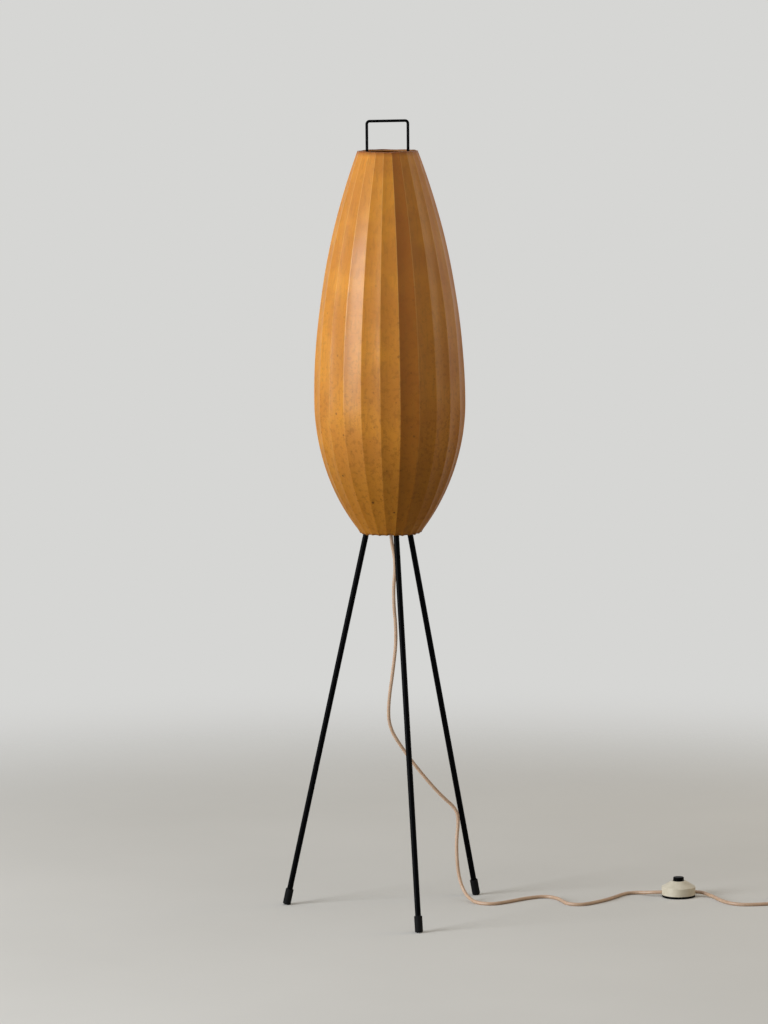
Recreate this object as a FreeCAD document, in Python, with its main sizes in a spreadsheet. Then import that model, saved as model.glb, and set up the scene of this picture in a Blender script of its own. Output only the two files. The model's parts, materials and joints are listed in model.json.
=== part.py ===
# Cocoon floor lamp: a sprayed, ribbed, egg-shaped shade that rests on a tripod of thin rods, with a wire
# carrying handle, a lampholder inside and a flex that runs through a foot switch to a plug.
# Millimetres. The floor is z = 0 and the lamp's axis is the z axis. The front leg points to -Y and the
# handle's wire lies in the XZ plane.
import FreeCAD, Part
import Sketcher
import math
import os
from types import SimpleNamespace

SIZES = {
    # Shade: two tangent arcs from rim to belly to rim, measured to the ridges
    "shade_bottom": 668.0,
    "shade_length": 661.0,
    "belly_rise": 227.0,
    "belly_radius": 131.5,
    "bottom_rim_radius": 52.5,
    "top_rim_radius": 52.5,
    "panel_hollow": 2.2,
    "rim_hollow": 0.3,
    "skin_wall": 1.0,
    "rib_count": 24,
    "rib_azimuth": 10.5,
    "rib_wire": 2.5,
    "ring_wire": 3.0,
    "wire_gap": 0.15,
    # Tripod: the leg axes meet the floor on a circle, and the shade's lower ring rests on the legs
    "foot_circle_radius": 197.7,
    "leg_diameter": 10.0,
    "ring_seat_gap": 0.3,
    "leg_stud": 6.0,
    "stud_past_nut": 2.0,
    "leg_nut_flats": 10.0,
    "leg_nut_height": 5.0,
    "washer_diameter": 12.0,
    "washer_thickness": 1.6,
    "cap_diameter": 14.0,
    "cap_length": 28.0,
    "cap_floor": 4.0,
    "cap_edge": 2.0,
    "cap_rim_edge": 0.8,
    "cap_gap": 0.05,
    "foot_flat": 0.5,
    # Hub plate with angled bosses for the legs
    "hub_rise": 46.0,
    "hub_radius": 43.0,
    "hub_plate": 4.0,
    "boss_diameter": 16.0,
    "boss_below": 8.0,
    "boss_above": 6.0,
    "thread_gap": 0.1,
    # Carrying handle
    "handle_wire": 4.8,
    "handle_half_width": 36.2,
    "handle_rise": 51.0,
    "handle_bend": 5.0,
    "handle_past_nut": 2.0,
    "handle_nut_flats": 8.0,
    "handle_nut_height": 4.0,
    # Nipple, lock nuts and cord grip on the axis
    "nipple_diameter": 10.0,
    "nipple_bore": 7.0,
    "nipple_below": 20.0,
    "nipple_in_holder": 8.0,
    "lock_nut_flats": 14.0,
    "lock_nut_height": 4.0,
    "grip_diameter": 16.0,
    "grip_length": 26.0,
    "grip_taper": 9.0,
    "grip_nose_diameter": 10.0,
    "grip_on_nipple": 8.0,
    "grip_screw": 4.0,
    "grip_screw_past": 1.5,
    # Lampholder
    "holder_gap": 4.0,
    "holder_diameter": 41.0,
    "holder_wall": 2.5,
    "holder_neck_diameter": 18.0,
    "holder_neck": 8.0,
    "holder_dome": 8.0,
    "holder_floor": 2.0,
    "holder_cap_height": 28.0,
    "holder_ledge": 3.0,
    "holder_ledge_depth": 8.0,
    "core_height": 12.0,
    "core_gap": 0.2,
    "skirt_height": 36.0,
    "socket_diameter": 30.4,
    "contact_diameter": 8.0,
    "contact_plate": 1.5,
    "contact_button": 5.0,
    "contact_height": 3.0,
    "terminal_screw": 3.0,
    "terminal_head": 6.0,
    "terminal_head_height": 2.2,
    "terminal_reach": 6.0,
    "terminal_offset": 10.0,
    "core_wire": 1.8,
    # Bulb with a 27 mm screw cap
    "bulb_seat_gap": 0.3,
    "thread_crest": 26.4,
    "thread_root": 24.4,
    "thread_pitch": 3.6,
    "thread_turns": 5,
    "screw_gap": 0.4,
    "bulb_tip": 9.0,
    "bulb_tip_height": 1.5,
    "bulb_insulator_height": 3.5,
    "bulb_insulator_nose": 14.0,
    "bulb_cap_bore": 23.2,
    "bulb_collar": 4.0,
    "bulb_neck": 28.0,
    "bulb_diameter": 60.0,
    "bulb_glass_height": 78.0,
    "glass_wall": 1.0,
    "stem_flange": 1.2,
    "stem_height": 28.0,
    "stem_diameter": 7.0,
    "stem_gap": 0.3,
    "filament_wire": 1.0,
    "filament_half_span": 9.0,
    "filament_rise": 13.0,
    "filament_foot": 2.0,
    # Flex
    "cord_diameter": 6.0,
    "cord_gap": 0.2,
    # Foot switch
    "switch_across": 515.0,
    "switch_along": -6.5,
    "switch_heading": -12.3,
    "switch_diameter": 60.0,
    "switch_base_inset": 1.0,
    "switch_base": 4.0,
    "switch_wall_height": 14.0,
    "switch_cone_height": 10.5,
    "switch_top_diameter": 25.0,
    "switch_wall": 2.2,
    "button_diameter": 19.0,
    "button_height": 6.5,
    "button_edge": 1.5,
    "button_gap": 0.3,
    "button_flange": 22.4,
    "button_flange_height": 2.0,
    "button_travel": 4.0,
    "plunger_diameter": 6.0,
    "plunger_floor": 1.0,
    "tower_diameter": 10.0,
    "tower_height": 9.0,
    "contact_ring_outer": 22.0,
    "contact_ring_inner": 16.0,
    "contact_ring_thickness": 1.0,
    "contact_gap": 0.3,
    "contact_post": 3.0,
    "block_width": 8.0,
    "block_depth": 8.0,
    "block_height": 6.0,
    "block_offset": 7.5,
    "block_screw": 2.5,
    "block_screw_head": 4.0,
    "block_screw_head_height": 1.5,
    "block_screw_reach": 4.0,
    "spring_diameter": 12.6,
    "spring_wire": 1.0,
    "spring_turns": 5,
    "spring_gap": 0.1,
    "clamp_floor": 0.8,
    "clamp_thickness": 5.0,
    "clamp_width": 14.0,
    "clamp_height": 8.5,
    "clamp_offset": 20.0,
    "case_screw": 3.0,
    "case_screw_head": 6.0,
    "case_screw_head_height": 1.8,
    "case_screw_sunk": 0.3,
    "case_screw_length": 14.0,
    "case_screw_offset": 22.0,
    "case_boss": 8.0,
    # Coil of the put-away length, its tie and the plug
    "coil_inner_radius": 24.0,
    "coil_step": 6.7,
    "turns_in": 2.75,
    "turns_out": 3.0,
    "tie_thickness": 1.2,
    "tie_width": 9.0,
    "tie_gap": 0.3,
    "tie_side_gap": 0.9,
    "tie_corner": 3.0,
    "tie_azimuth": 140.0,
    "plug_heading": 78.0,
    "plug_lead": 11.0,
    "plug_length": 36.0,
    "plug_front": 35.0,
    "plug_shoulder": 14.0,
    "plug_shoulder_width": 32.0,
    "plug_back": 12.0,
    "plug_thickness": 14.0,
    "pin_diameter": 4.0,
    "pin_length": 19.0,
    "pin_root": 5.0,
    "pin_in_plug": 14.0,
    "pin_tip": 1.2,
    "pin_pitch": 19.0,
    "pin_gap": 0.05,
    "relief_length": 20.0,
    "relief_nose": 8.0,
    "relief_socket": 8.0,
    "plug_screw": 3.0,
    "plug_screw_head": 5.6,
    "plug_screw_head_height": 2.0,
    "plug_screw_length": 11.0,
    "plug_screw_along": 22.0,
}

LEG_AZIMUTHS = {"front": -90.0, "right": 30.0, "left": 150.0}

# The flex from the cord grip to the switch: it hangs, leans over the right leg and lies in waves.
DROP_ROUTE = [
    (9, 2, 614), (5, 11, 556), (14, 22, 482), (10, 36, 420), (4, 49, 362), (6, 58, 318),
    (28, 62, 280), (66, 66, 229), (102, 69, 187), (129, 70, 163), (134, 71, 141), (130, 71, 110),
    (129, 67, 74), (133, 65, 36), (140, 51, 13), (147, 28, 4.5), (156, 11, 3), (168, 0, 3), (183, -2, 3),
    (209, 10, 3), (243, 30, 3), (264, 37, 3), (279, 39, 3), (291, 33, 3), (299, 19, 3), (303, -7, 3),
    (303, -27, 3), (309, -39, 3), (319, -46, 3), (332, -47, 3), (346, -40, 3), (369, -26, 3),
    (394, -5, 3), (416, 19, 3), (432, 31, 3), (449, 30, 3.5), (463, 17, 5),
]
# The flex from the switch towards the coil, its level run into the coil, and from there towards the plug.
TAIL_ROUTE = [
    (563, -24, 4.5), (570, -39, 3.2), (572, -64, 3), (576, -89, 3), (584, -108, 3), (600, -121, 3),
    (622, -125, 3), (648, -126, 3.3),
]
COIL_APPROACH = [(678, -130), (703, -136)]
LEAD_ROUTE = [(772, -64, 8.8), (778, -45, 7)]

# The outline's levels below and above the belly at which the panels are drawn.
LOWER_LEVELS = 6
UPPER_LEVELS = 8

UP = FreeCAD.Vector(0, 0, 1)


class Formula:
    """A number that also carries the spreadsheet formula it comes from."""

    def __init__(self, text, number):
        self.text = text
        self.number = float(number)

    def __float__(self):
        return self.number

    def joined(self, sign, other, number):
        other_text = other.text if isinstance(other, Formula) else repr(float(other))
        return Formula(f"({self.text} {sign} {other_text})", number)

    def __add__(self, other):
        return self.joined("+", other, self.number + float(other))

    def __sub__(self, other):
        return self.joined("-", other, self.number - float(other))

    def __mul__(self, other):
        return self.joined("*", other, self.number * float(other))

    def __truediv__(self, other):
        return self.joined("/", other, self.number / float(other))

    def __neg__(self):
        return self * -1.0


def root(value):
    """Square root of a formula."""
    return Formula(f"sqrt({value.text})", math.sqrt(value.number))


class Arc:
    """A round stretch of an outline that ends at a point; side 1 bulges left of the way along, -1 right."""

    def __init__(self, across, up, radius, side):
        self.end = (across, up)
        self.radius = radius
        self.side = side


doc = FreeCAD.newDocument("CocoonFloorLamp")
sheet = doc.addObject("Spreadsheet::Sheet", "Sizes")
for row, (alias, number) in enumerate(SIZES.items(), start=1):
    sheet.set(f"A{row}", alias.replace("_", " "))
    sheet.set(f"B{row}", str(number))
    sheet.setAlias(f"B{row}", alias)
doc.recompute()
size = SimpleNamespace(**{alias: Formula(f"Sizes.{alias}", sheet.get(alias)) for alias in SIZES})
pieces = []


def vector(across, along, up):
    return FreeCAD.Vector(float(across), float(along), float(up))


def shift(across, along, up):
    return FreeCAD.Placement(vector(across, along, up), FreeCAD.Rotation())


def turn(axis, degrees):
    return FreeCAD.Placement(FreeCAD.Vector(), FreeCAD.Rotation(axis, float(degrees)))


ALONG_X = turn(FreeCAD.Vector(0, 1, 0), 90)
UPSIDE_DOWN = turn(FreeCAD.Vector(1, 0, 0), 180)


def piece(item):
    """Counts an object among the lamp's pieces."""
    pieces.append(item)
    return item


def bind(item, **formulas):
    """Sets properties and ties them to the spreadsheet."""
    for name, formula in formulas.items():
        setattr(item, name, float(formula))
        item.setExpression(name, formula.text)
    return item


# Sketches


def new_sketch(body, role, name):
    sketch = body.newObject("Sketcher::SketchObject", name)
    plane = next(feature for feature in body.Origin.OriginFeatures if feature.Role == role)
    sketch.AttachmentSupport = [(plane, "")]
    sketch.MapMode = "FlatFace"
    return sketch


def add_stretch(sketch, start, step):
    """Adds one line or arc and returns its number with the numbers of its first and last point."""
    end = step.end if isinstance(step, Arc) else step
    first = vector(start[0], start[1], 0)
    last = vector(end[0], end[1], 0)
    if not isinstance(step, Arc):
        return sketch.addGeometry(Part.LineSegment(first, last), False), 1, 2
    radius = float(step.radius)
    chord = last - first
    left = FreeCAD.Vector(-chord.y, chord.x, 0).normalize()
    centre = (first + last) / 2 - left * (step.side * math.sqrt(radius ** 2 - (chord.Length / 2) ** 2))
    begin, finish = (last, first) if step.side > 0 else (first, last)
    angles = [math.atan2(point.y - centre.y, point.x - centre.x) for point in (begin, finish)]
    if angles[1] < angles[0]:
        angles[1] += 2 * math.pi
    circle = Part.Circle(centre, UP, radius)
    number = sketch.addGeometry(Part.ArcOfCircle(circle, angles[0], angles[1]), False)
    rule = sketch.addConstraint(Sketcher.Constraint("Radius", number, radius))
    sketch.setExpression(f"Constraints[{rule}]", step.radius.text)
    return (number, 2, 1) if step.side > 0 else (number, 1, 2)


def hold(sketch, geometry, position, point):
    """Holds a point at its formulas, or on an axis where a coordinate is zero."""
    for kind, axis, value in (("DistanceX", -2, point[0]), ("DistanceY", -1, point[1])):
        if isinstance(value, Formula):
            rule = Sketcher.Constraint(kind, -1, 1, geometry, position, float(value))
            sketch.setExpression(f"Constraints[{sketch.addConstraint(rule)}]", value.text)
        else:
            sketch.addConstraint(Sketcher.Constraint("PointOnObject", geometry, position, axis))


def draw(sketch, outline, closed=True):
    """Draws an outline's stretches end to end and holds each of its points."""
    points = [step.end if isinstance(step, Arc) else step for step in outline]
    count = len(outline) if closed else len(outline) - 1
    stretches = [add_stretch(sketch, points[at], outline[(at + 1) % len(outline)]) for at in range(count)]
    for at, (geometry, first, last) in enumerate(stretches):
        hold(sketch, geometry, first, points[at])
        if closed or at + 1 < count:
            following = stretches[(at + 1) % count]
            meeting = Sketcher.Constraint("Coincident", geometry, last, following[0], following[1])
            sketch.addConstraint(meeting)
        else:
            hold(sketch, geometry, last, points[-1])


def draw_circle(sketch, centre, radius):
    number = sketch.addGeometry(Part.Circle(vector(centre[0], centre[1], 0), UP, float(radius)), False)
    hold(sketch, number, 3, centre)
    rule = sketch.addConstraint(Sketcher.Constraint("Radius", number, float(radius)))
    sketch.setExpression(f"Constraints[{rule}]", radius.text)


# Ways of making a piece


def turned(label, outline):
    """A piece turned about its own Z axis from an outline of (radius, height) points."""
    body = doc.addObject("PartDesign::Body", label)
    sketch = new_sketch(body, "XZ_Plane", f"{label}_outline")
    draw(sketch, outline)
    turning = body.newObject("PartDesign::Revolution", f"{label}_turning")
    turning.Profile = sketch
    turning.ReferenceAxis = (sketch, ["V_Axis"])
    turning.Angle = 360.0
    body.Tip = turning
    return body


def extruded(label, outline, height, hole=None, inner=None):
    """A piece of even thickness above its own XY plane, with a round or drawn hole where one is given."""
    body = doc.addObject("PartDesign::Body", label)
    sketch = new_sketch(body, "XY_Plane", f"{label}_outline")
    draw(sketch, outline)
    if hole is not None:
        draw_circle(sketch, (0, 0), hole)
    if inner is not None:
        draw(sketch, inner)
    pad = body.newObject("PartDesign::Pad", f"{label}_pad")
    pad.Profile = sketch
    bind(pad, Length=height)
    body.Tip = pad
    return body


def hexagon(flats):
    """Outline of a hexagon given its width across flats."""
    half = flats / 2
    corner = half / math.cos(math.pi / 6)
    return [(corner, 0), (corner / 2, half), (-corner / 2, half),
            (-corner, 0), (-corner / 2, -half), (corner / 2, -half)]


def rounded_rectangle(half_width, half_height, corner):
    """Outline of a rectangle about the origin with round corners, drawn anticlockwise."""
    across = half_width - corner
    up = half_height - corner
    return [(across, -half_height), Arc(half_width, -up, corner, -1), (half_width, up),
            Arc(across, half_height, corner, -1), (-across, half_height), Arc(-half_width, up, corner, -1),
            (-half_width, -up), Arc(-across, -half_height, corner, -1)]


def cylinder(label, radius, height, placement):
    item = bind(doc.addObject("Part::Cylinder", label), Radius=radius, Height=height)
    item.Placement = placement
    return item


def box(label, length, width, height, placement):
    item = bind(doc.addObject("Part::Box", label), Length=length, Width=width, Height=height)
    item.Placement = placement
    return item


def joined(label, items):
    item = doc.addObject("Part::MultiFuse", label)
    item.Shapes = items
    return item


def cut(label, base, tools):
    """A piece less the tools, which stay clear of each other."""
    group = doc.addObject("Part::Compound", f"{label}_tools")
    group.Links = tools
    item = doc.addObject("Part::Cut", label)
    item.Base = base
    item.Tool = group
    return item


def copies(label, master, placements):
    """A group of separate copies of one master piece."""
    doc.recompute()
    shapes = []
    for placement in placements:
        shape = master.Shape.copy()
        shape.Placement = placement
        shapes.append(shape)
    return feature(label, Part.makeCompound(shapes))


def feature(label, shape):
    item = doc.addObject("Part::Feature", label)
    item.Shape = shape
    return item


# Tubes along bent paths


def bent_edges(points):
    """Straight runs and, at each inner point, a tangent arc as wide as the shorter run allows."""
    edges = []
    radii = []
    start = points[0]
    for before, point, after in zip(points, points[1:], points[2:]):
        back = (before - point).normalize()
        ahead = (after - point).normalize()
        half_turn = (math.pi - back.getAngle(ahead)) / 2
        reach = 0.45 * min((before - point).Length, (after - point).Length)
        radius = reach / math.tan(half_turn)
        inward = (back + ahead).normalize()
        first = point + back * reach
        last = point + ahead * reach
        middle = point + inward * (radius / math.cos(half_turn) - radius)
        edges.append(Part.LineSegment(start, first).toShape())
        edges.append(Part.Arc(first, middle, last).toShape())
        radii.append(radius)
        start = last
    edges.append(Part.LineSegment(start, points[-1]).toShape())
    return edges, radii


def arc_from(start, corner, end):
    """Arc that leaves start and reaches end along the two equal sides of a corner."""
    middle = (start + end) / 2
    height = (corner - middle).Length
    half_chord = (end - start).Length / 2
    rise = half_chord * math.tan(math.atan2(height, half_chord) / 2)
    return Part.Arc(start, middle + (corner - middle).normalize() * rise, end).toShape()


def biarc(start, heading, end, end_heading):
    """Two tangent arcs that join two points with given headings."""
    gap = end - start
    both = heading + end_heading
    spread = 2 * (1 - heading.dot(end_heading))
    along = gap.dot(both)
    reach = (math.sqrt(along ** 2 + spread * gap.dot(gap)) - along) / spread
    first_corner = start + heading * reach
    last_corner = end - end_heading * reach
    joint = (first_corner + last_corner) / 2
    return [arc_from(start, first_corner, joint), arc_from(joint, last_corner, end)]


def wound_edges(curve, stations):
    """Biarcs through a curve's points at the stations."""
    nudge = 1e-4
    points = [curve(at) for at in stations]
    headings = [(curve(at + nudge) - curve(at - nudge)).normalize() for at in stations]
    edges = []
    for start, heading, end, end_heading in zip(points, headings, points[1:], headings[1:]):
        edges += biarc(start, heading, end, end_heading)
    return edges


def tube(edges, radius):
    """A round tube along edges that join end to end."""
    path = Part.Wire(edges)
    start = path.Edges[0].valueAt(path.Edges[0].FirstParameter)
    heading = path.Edges[0].tangentAt(path.Edges[0].FirstParameter)
    section = Part.Wire(Part.Circle(start, heading, float(radius)).toShape())
    solid = path.makePipeShell([section], True, False)
    return solid, path


def tell_tube(label, solid, path, radius, radii=None):
    """Prints a tube's length, its volume against section times length, and its bend radii."""
    share = solid.Volume / (math.pi * float(radius) ** 2 * path.Length)
    print(f"{label}: length {path.Length:.1f} mm, volume share {share:.4f}")
    if radii:
        print("  bend radii", " ".join(f"{value:.0f}" for value in radii))


def least_gap(path, diameter):
    """Least gap of a wound tube to itself, on points a millimetre apart along its path."""
    points = path.discretize(Distance=1.0)
    apart = int(4 * float(diameter))
    nearest = min((points[at] - points[other]).Length
                  for at in range(len(points)) for other in range(at + apart, len(points)))
    return nearest - float(diameter)


def cord(label, points):
    """A stretch of flex along hand-chosen points."""
    edges, radii = bent_edges(points)
    solid, path = tube(edges, cord_radius)
    tell_tube(label, solid, path, cord_radius, radii)
    return piece(feature(label, solid))


# Levels and radii that several pieces share

cord_radius = size.cord_diameter / 2
leg_radius = size.leg_diameter / 2
ring_radius = size.ring_wire / 2
handle_radius = size.handle_wire / 2
nipple_radius = size.nipple_diameter / 2
shade_top = size.shade_bottom + size.shade_length
belly_level = size.shade_bottom + size.belly_rise
hub_underside = size.shade_bottom + size.hub_rise
hub_top = hub_underside + size.hub_plate
holder_level = hub_top + size.lock_nut_height + size.holder_gap
nipple_bottom = hub_underside - size.nipple_below
nipple_top = holder_level + size.nipple_in_holder
grip_level = nipple_bottom + size.grip_on_nipple - size.grip_length

# Shade

rib_count = round(float(size.rib_count))
half_panel = math.pi / rib_count


def rim_ring(rim_radius):
    """Radius of a rim's ring wire: inside the skin at the middle of the panels."""
    inner = (rim_radius - size.skin_wall) * math.cos(half_panel) - size.rim_hollow
    return inner - size.wire_gap - ring_radius


bottom_ring_radius = rim_ring(size.bottom_rim_radius)
top_ring_radius = rim_ring(size.top_rim_radius)
ring_inset = size.skin_wall + size.wire_gap + ring_radius
bottom_ring_level = size.shade_bottom + ring_inset
top_ring_level = shade_top - ring_inset


def meridian_arc(level):
    """Centre radius and arc radius of the outline's arc at a level, above or below the belly."""
    if level > float(belly_level):
        rise = float(shade_top - belly_level)
        narrowing = float(size.belly_radius - size.top_rim_radius)
    else:
        rise = float(size.belly_rise)
        narrowing = float(size.belly_radius - size.bottom_rim_radius)
    arc_radius = (rise ** 2 + narrowing ** 2) / (2 * narrowing)
    return float(size.belly_radius) - arc_radius, arc_radius


def ridge_radius(level, inset):
    """Distance from the axis to the outline, moved inwards along its normal by the inset."""
    centre, arc_radius = meridian_arc(level)
    return centre + math.sqrt((arc_radius - inset) ** 2 - (level - float(belly_level)) ** 2)


def panel_hollow(level):
    """Depth of a panel's hollow, which grows from the rims to the belly."""
    rim = size.top_rim_radius if level > float(belly_level) else size.bottom_rim_radius
    share = (ridge_radius(level, 0.0) - float(rim)) / float(size.belly_radius - rim)
    return float(size.rim_hollow) + share * float(size.panel_hollow - size.rim_hollow)


def shade_section(level, inset):
    """Closed wire of hollow panels between the ridges at one level."""
    ridge = ridge_radius(level, inset)
    middle = ridge * math.cos(half_panel) - panel_hollow(level)
    first = math.radians(float(size.rib_azimuth))
    arcs = []
    for rib in range(rib_count):
        angles = [first + half_panel * (2 * rib + step) for step in range(3)]
        corners = [vector(radius * math.cos(angle), radius * math.sin(angle), level)
                   for radius, angle in zip((ridge, middle, ridge), angles)]
        arcs.append(Part.Arc(*corners).toShape())
    return Part.Wire(arcs)


def shade_levels(low, high):
    """Levels from low to high with one of them on the belly."""
    belly = float(belly_level)
    lower = [low + (belly - low) * step / LOWER_LEVELS for step in range(LOWER_LEVELS)]
    upper = [belly + (high - belly) * step / UPPER_LEVELS for step in range(UPPER_LEVELS + 1)]
    return lower + upper


def shade_solid(low, high, inset):
    return Part.makeLoft([shade_section(level, inset) for level in shade_levels(low, high)], True, False)


def shade_skin():
    """Sprayed skin: hollow panels outside and in, turned in at both rims over the ring wires."""
    low, high, wall = float(size.shade_bottom), float(shade_top), float(size.skin_wall)
    skin = shade_solid(low, high, 0.0).cut(shade_solid(low + wall, high - wall, wall))
    bottom_mouth = Part.makeCylinder(float(bottom_ring_radius), 3 * wall, vector(0, 0, low - wall))
    top_mouth = Part.makeCylinder(float(top_ring_radius), 3 * wall, vector(0, 0, high - 2 * wall))
    return piece(feature("shade_skin", skin.cut(bottom_mouth).cut(top_mouth).Solids[0]))


def rib_wires():
    """One wire under each ridge, welded to the outside of both rings."""
    chord = 2 * float(size.belly_radius) * math.sin(half_panel)
    flank = half_panel + 2 * math.atan(2 * float(size.panel_hollow) / chord)
    radius = float(size.rib_wire) / 2
    inset = float(size.skin_wall + size.wire_gap) + radius / math.cos(flank)
    low, high, belly = float(bottom_ring_level), float(top_ring_level), float(belly_level)

    def on_rib(level):
        return vector(ridge_radius(level, inset), 0, level)

    lower = Part.Arc(on_rib(low), on_rib((low + belly) / 2), on_rib(belly)).toShape()
    upper = Part.Arc(on_rib(belly), on_rib((belly + high) / 2), on_rib(high)).toShape()
    rib, path = tube([lower, upper], radius)
    tell_tube("rib_wires", rib, path, radius)
    for level, ring in ((low, bottom_ring_radius), (high, top_ring_radius)):
        rib = rib.cut(Part.makeTorus(float(ring), float(ring_radius), vector(0, 0, level)))
    master = feature("rib_master", rib.Solids[0])
    places = [turn(UP, float(size.rib_azimuth) + 360.0 * rib_at / rib_count) for rib_at in range(rib_count)]
    return piece(copies("rib_wires", master, places))


def rim_wire(label, radius, level):
    ring = bind(doc.addObject("Part::Torus", label), Radius1=radius, Radius2=ring_radius)
    ring.Placement = shift(0, 0, level)
    ring.setExpression("Placement.Base.z", level.text)
    return piece(ring)


# Tripod

# The leg's axis starts on the floor circle and passes the lower ring's wire at the seat gap, which sets
# its lean (sine) and rise (cosine) from the vertical.
ring_offset = leg_radius + ring_radius + size.ring_seat_gap
leg_run = size.foot_circle_radius - bottom_ring_radius
leg_span = leg_run * leg_run + bottom_ring_level * bottom_ring_level
leg_reach = root(leg_span - ring_offset * ring_offset)
leg_lean = (leg_run * leg_reach + bottom_ring_level * ring_offset) / leg_span
leg_rise = (bottom_ring_level * leg_reach - leg_run * ring_offset) / leg_span

# Distances along a leg from the floor point of its axis
cap_radius = size.cap_diameter / 2
cap_start = ((cap_radius - size.cap_edge) * leg_lean + size.cap_edge - size.cap_edge * leg_rise
             - size.foot_flat) / leg_rise
leg_start = cap_start + size.cap_floor
boss_middle = (hub_underside + size.hub_plate / 2) / leg_rise
boss_start = boss_middle - size.boss_below
boss_end = boss_middle + size.boss_above
nut_start = boss_end + size.washer_thickness
stud_end = nut_start + size.leg_nut_height + size.stud_past_nut


def leg_frame(side):
    """Placement whose Z axis runs up a leg from the floor."""
    azimuth = math.radians(LEG_AZIMUTHS[side])
    ahead = vector(math.cos(azimuth), math.sin(azimuth), 0)
    axis = UP * float(leg_rise) - ahead * float(leg_lean)
    return FreeCAD.Placement(ahead * float(size.foot_circle_radius), FreeCAD.Rotation(UP, axis))


def leg(side):
    """Rod with a threaded stud turned on its upper end."""
    stud_radius = size.leg_stud / 2
    rod = turned(f"leg_{side}", [(0, leg_start), (leg_radius, leg_start), (leg_radius, boss_start),
                                 (stud_radius, boss_start), (stud_radius, stud_end), (0, stud_end)])
    rod.Placement = leg_frame(side)
    return piece(rod)


def foot_cap(side, floor):
    """Rubber cap pushed on a leg, with the small flat that it stands on."""
    bore = leg_radius + size.cap_gap
    cap_end = cap_start + size.cap_length
    cap = turned(f"foot_cap_{side}_turned", [
        (0, cap_start), (cap_radius - size.cap_edge, cap_start),
        Arc(cap_radius, cap_start + size.cap_edge, size.cap_edge, -1),
        (cap_radius, cap_end - size.cap_rim_edge),
        Arc(cap_radius - size.cap_rim_edge, cap_end, size.cap_rim_edge, -1),
        (bore, cap_end), (bore, leg_start), (0, leg_start)])
    cap.Placement = leg_frame(side)
    return piece(cut(f"foot_cap_{side}", cap, [floor]))


def tripod_hub():
    """Plate with an angled boss for each leg, holes for the handle's ends and one for the nipple."""
    frames = [leg_frame(side) for side in LEG_AZIMUTHS]
    boss_height = size.boss_below + size.boss_above
    plate = cylinder("hub_disc", size.hub_radius, size.hub_plate, shift(0, 0, hub_underside))
    bosses = [cylinder(f"hub_boss_{at}", size.boss_diameter / 2, boss_height,
                       frame * shift(0, 0, boss_start)) for at, frame in enumerate(frames)]
    stud_hole = size.leg_stud / 2 + size.thread_gap
    drills = [cylinder(f"stud_drill_{at}", stud_hole, boss_height * 2,
                       frame * shift(0, 0, boss_start - boss_height / 2)) for at, frame in enumerate(frames)]
    below = hub_underside - size.hub_plate
    drills.append(cylinder("nipple_drill", nipple_radius + size.thread_gap, size.hub_plate * 3,
                           shift(0, 0, below)))
    for at, side in enumerate((-1, 1)):
        drills.append(cylinder(f"handle_drill_{at}", handle_radius + size.thread_gap, size.hub_plate * 3,
                               shift(size.handle_half_width * side, 0, below)))
    return piece(cut("tripod_hub", joined("hub_blank", [plate] + bosses), drills))


def nut(label, flats, height, bore):
    return extruded(label, hexagon(flats), height, hole=bore)


def leg_fasteners():
    frames = [leg_frame(side) for side in LEG_AZIMUTHS]
    bore = size.leg_stud / 2 + size.thread_gap
    outer = size.washer_diameter / 2
    washer = turned("leg_washer", [(bore, 0), (outer, 0), (outer, size.washer_thickness),
                                   (bore, size.washer_thickness)])
    piece(copies("leg_washers", washer, [frame * shift(0, 0, boss_end) for frame in frames]))
    leg_nut = nut("leg_nut", size.leg_nut_flats, size.leg_nut_height, bore)
    piece(copies("leg_nuts", leg_nut, [frame * shift(0, 0, nut_start) for frame in frames]))


# Carrying handle

handle_end = hub_underside - size.handle_nut_height - size.handle_past_nut
handle_height = shade_top + size.handle_rise - handle_end


def carry_handle():
    """One wire bent to a U that stands on the hub plate and shows above the shade."""
    half = size.handle_half_width
    bend = size.handle_bend
    body = doc.addObject("PartDesign::Body", "carry_handle")
    spine = new_sketch(body, "XZ_Plane", "handle_spine")
    shoulder = handle_height - bend
    draw(spine, [(-half, 0), (-half, shoulder), Arc(bend - half, handle_height, bend, 1),
                 (half - bend, handle_height), Arc(half, shoulder, bend, 1), (half, 0)], closed=False)
    section = new_sketch(body, "XY_Plane", "handle_section")
    draw_circle(section, (-half, 0), handle_radius)
    bending = body.newObject("PartDesign::AdditivePipe", "handle_bending")
    bending.Profile = section
    bending.Spine = (spine, [f"Edge{at + 1}" for at in range(5)])
    body.Tip = bending
    body.Placement = shift(0, 0, handle_end)
    return piece(body)


def handle_nuts():
    bore = handle_radius + size.thread_gap
    master = nut("handle_nut", size.handle_nut_flats, size.handle_nut_height, bore)
    return piece(copies("handle_nuts", master, [
        shift(size.handle_half_width * side, 0, level)
        for side in (-1, 1) for level in (hub_underside - size.handle_nut_height, hub_top)]))


# Nipple and cord grip

grip_bore = cord_radius + size.cord_gap


def nipple():
    bore = size.nipple_bore / 2
    tube_piece = turned("nipple", [(bore, nipple_bottom), (nipple_radius, nipple_bottom),
                                   (nipple_radius, nipple_top), (bore, nipple_top)])
    return piece(tube_piece)


def nipple_nuts():
    master = nut("lock_nut", size.lock_nut_flats, size.lock_nut_height, nipple_radius + size.thread_gap)
    return piece(copies("nipple_nuts", master, [
        shift(0, 0, level) for level in (hub_underside - size.lock_nut_height, hub_top)]))


grip_screw_level = grip_level + (size.grip_length - size.grip_on_nipple + size.grip_taper) / 2


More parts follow.
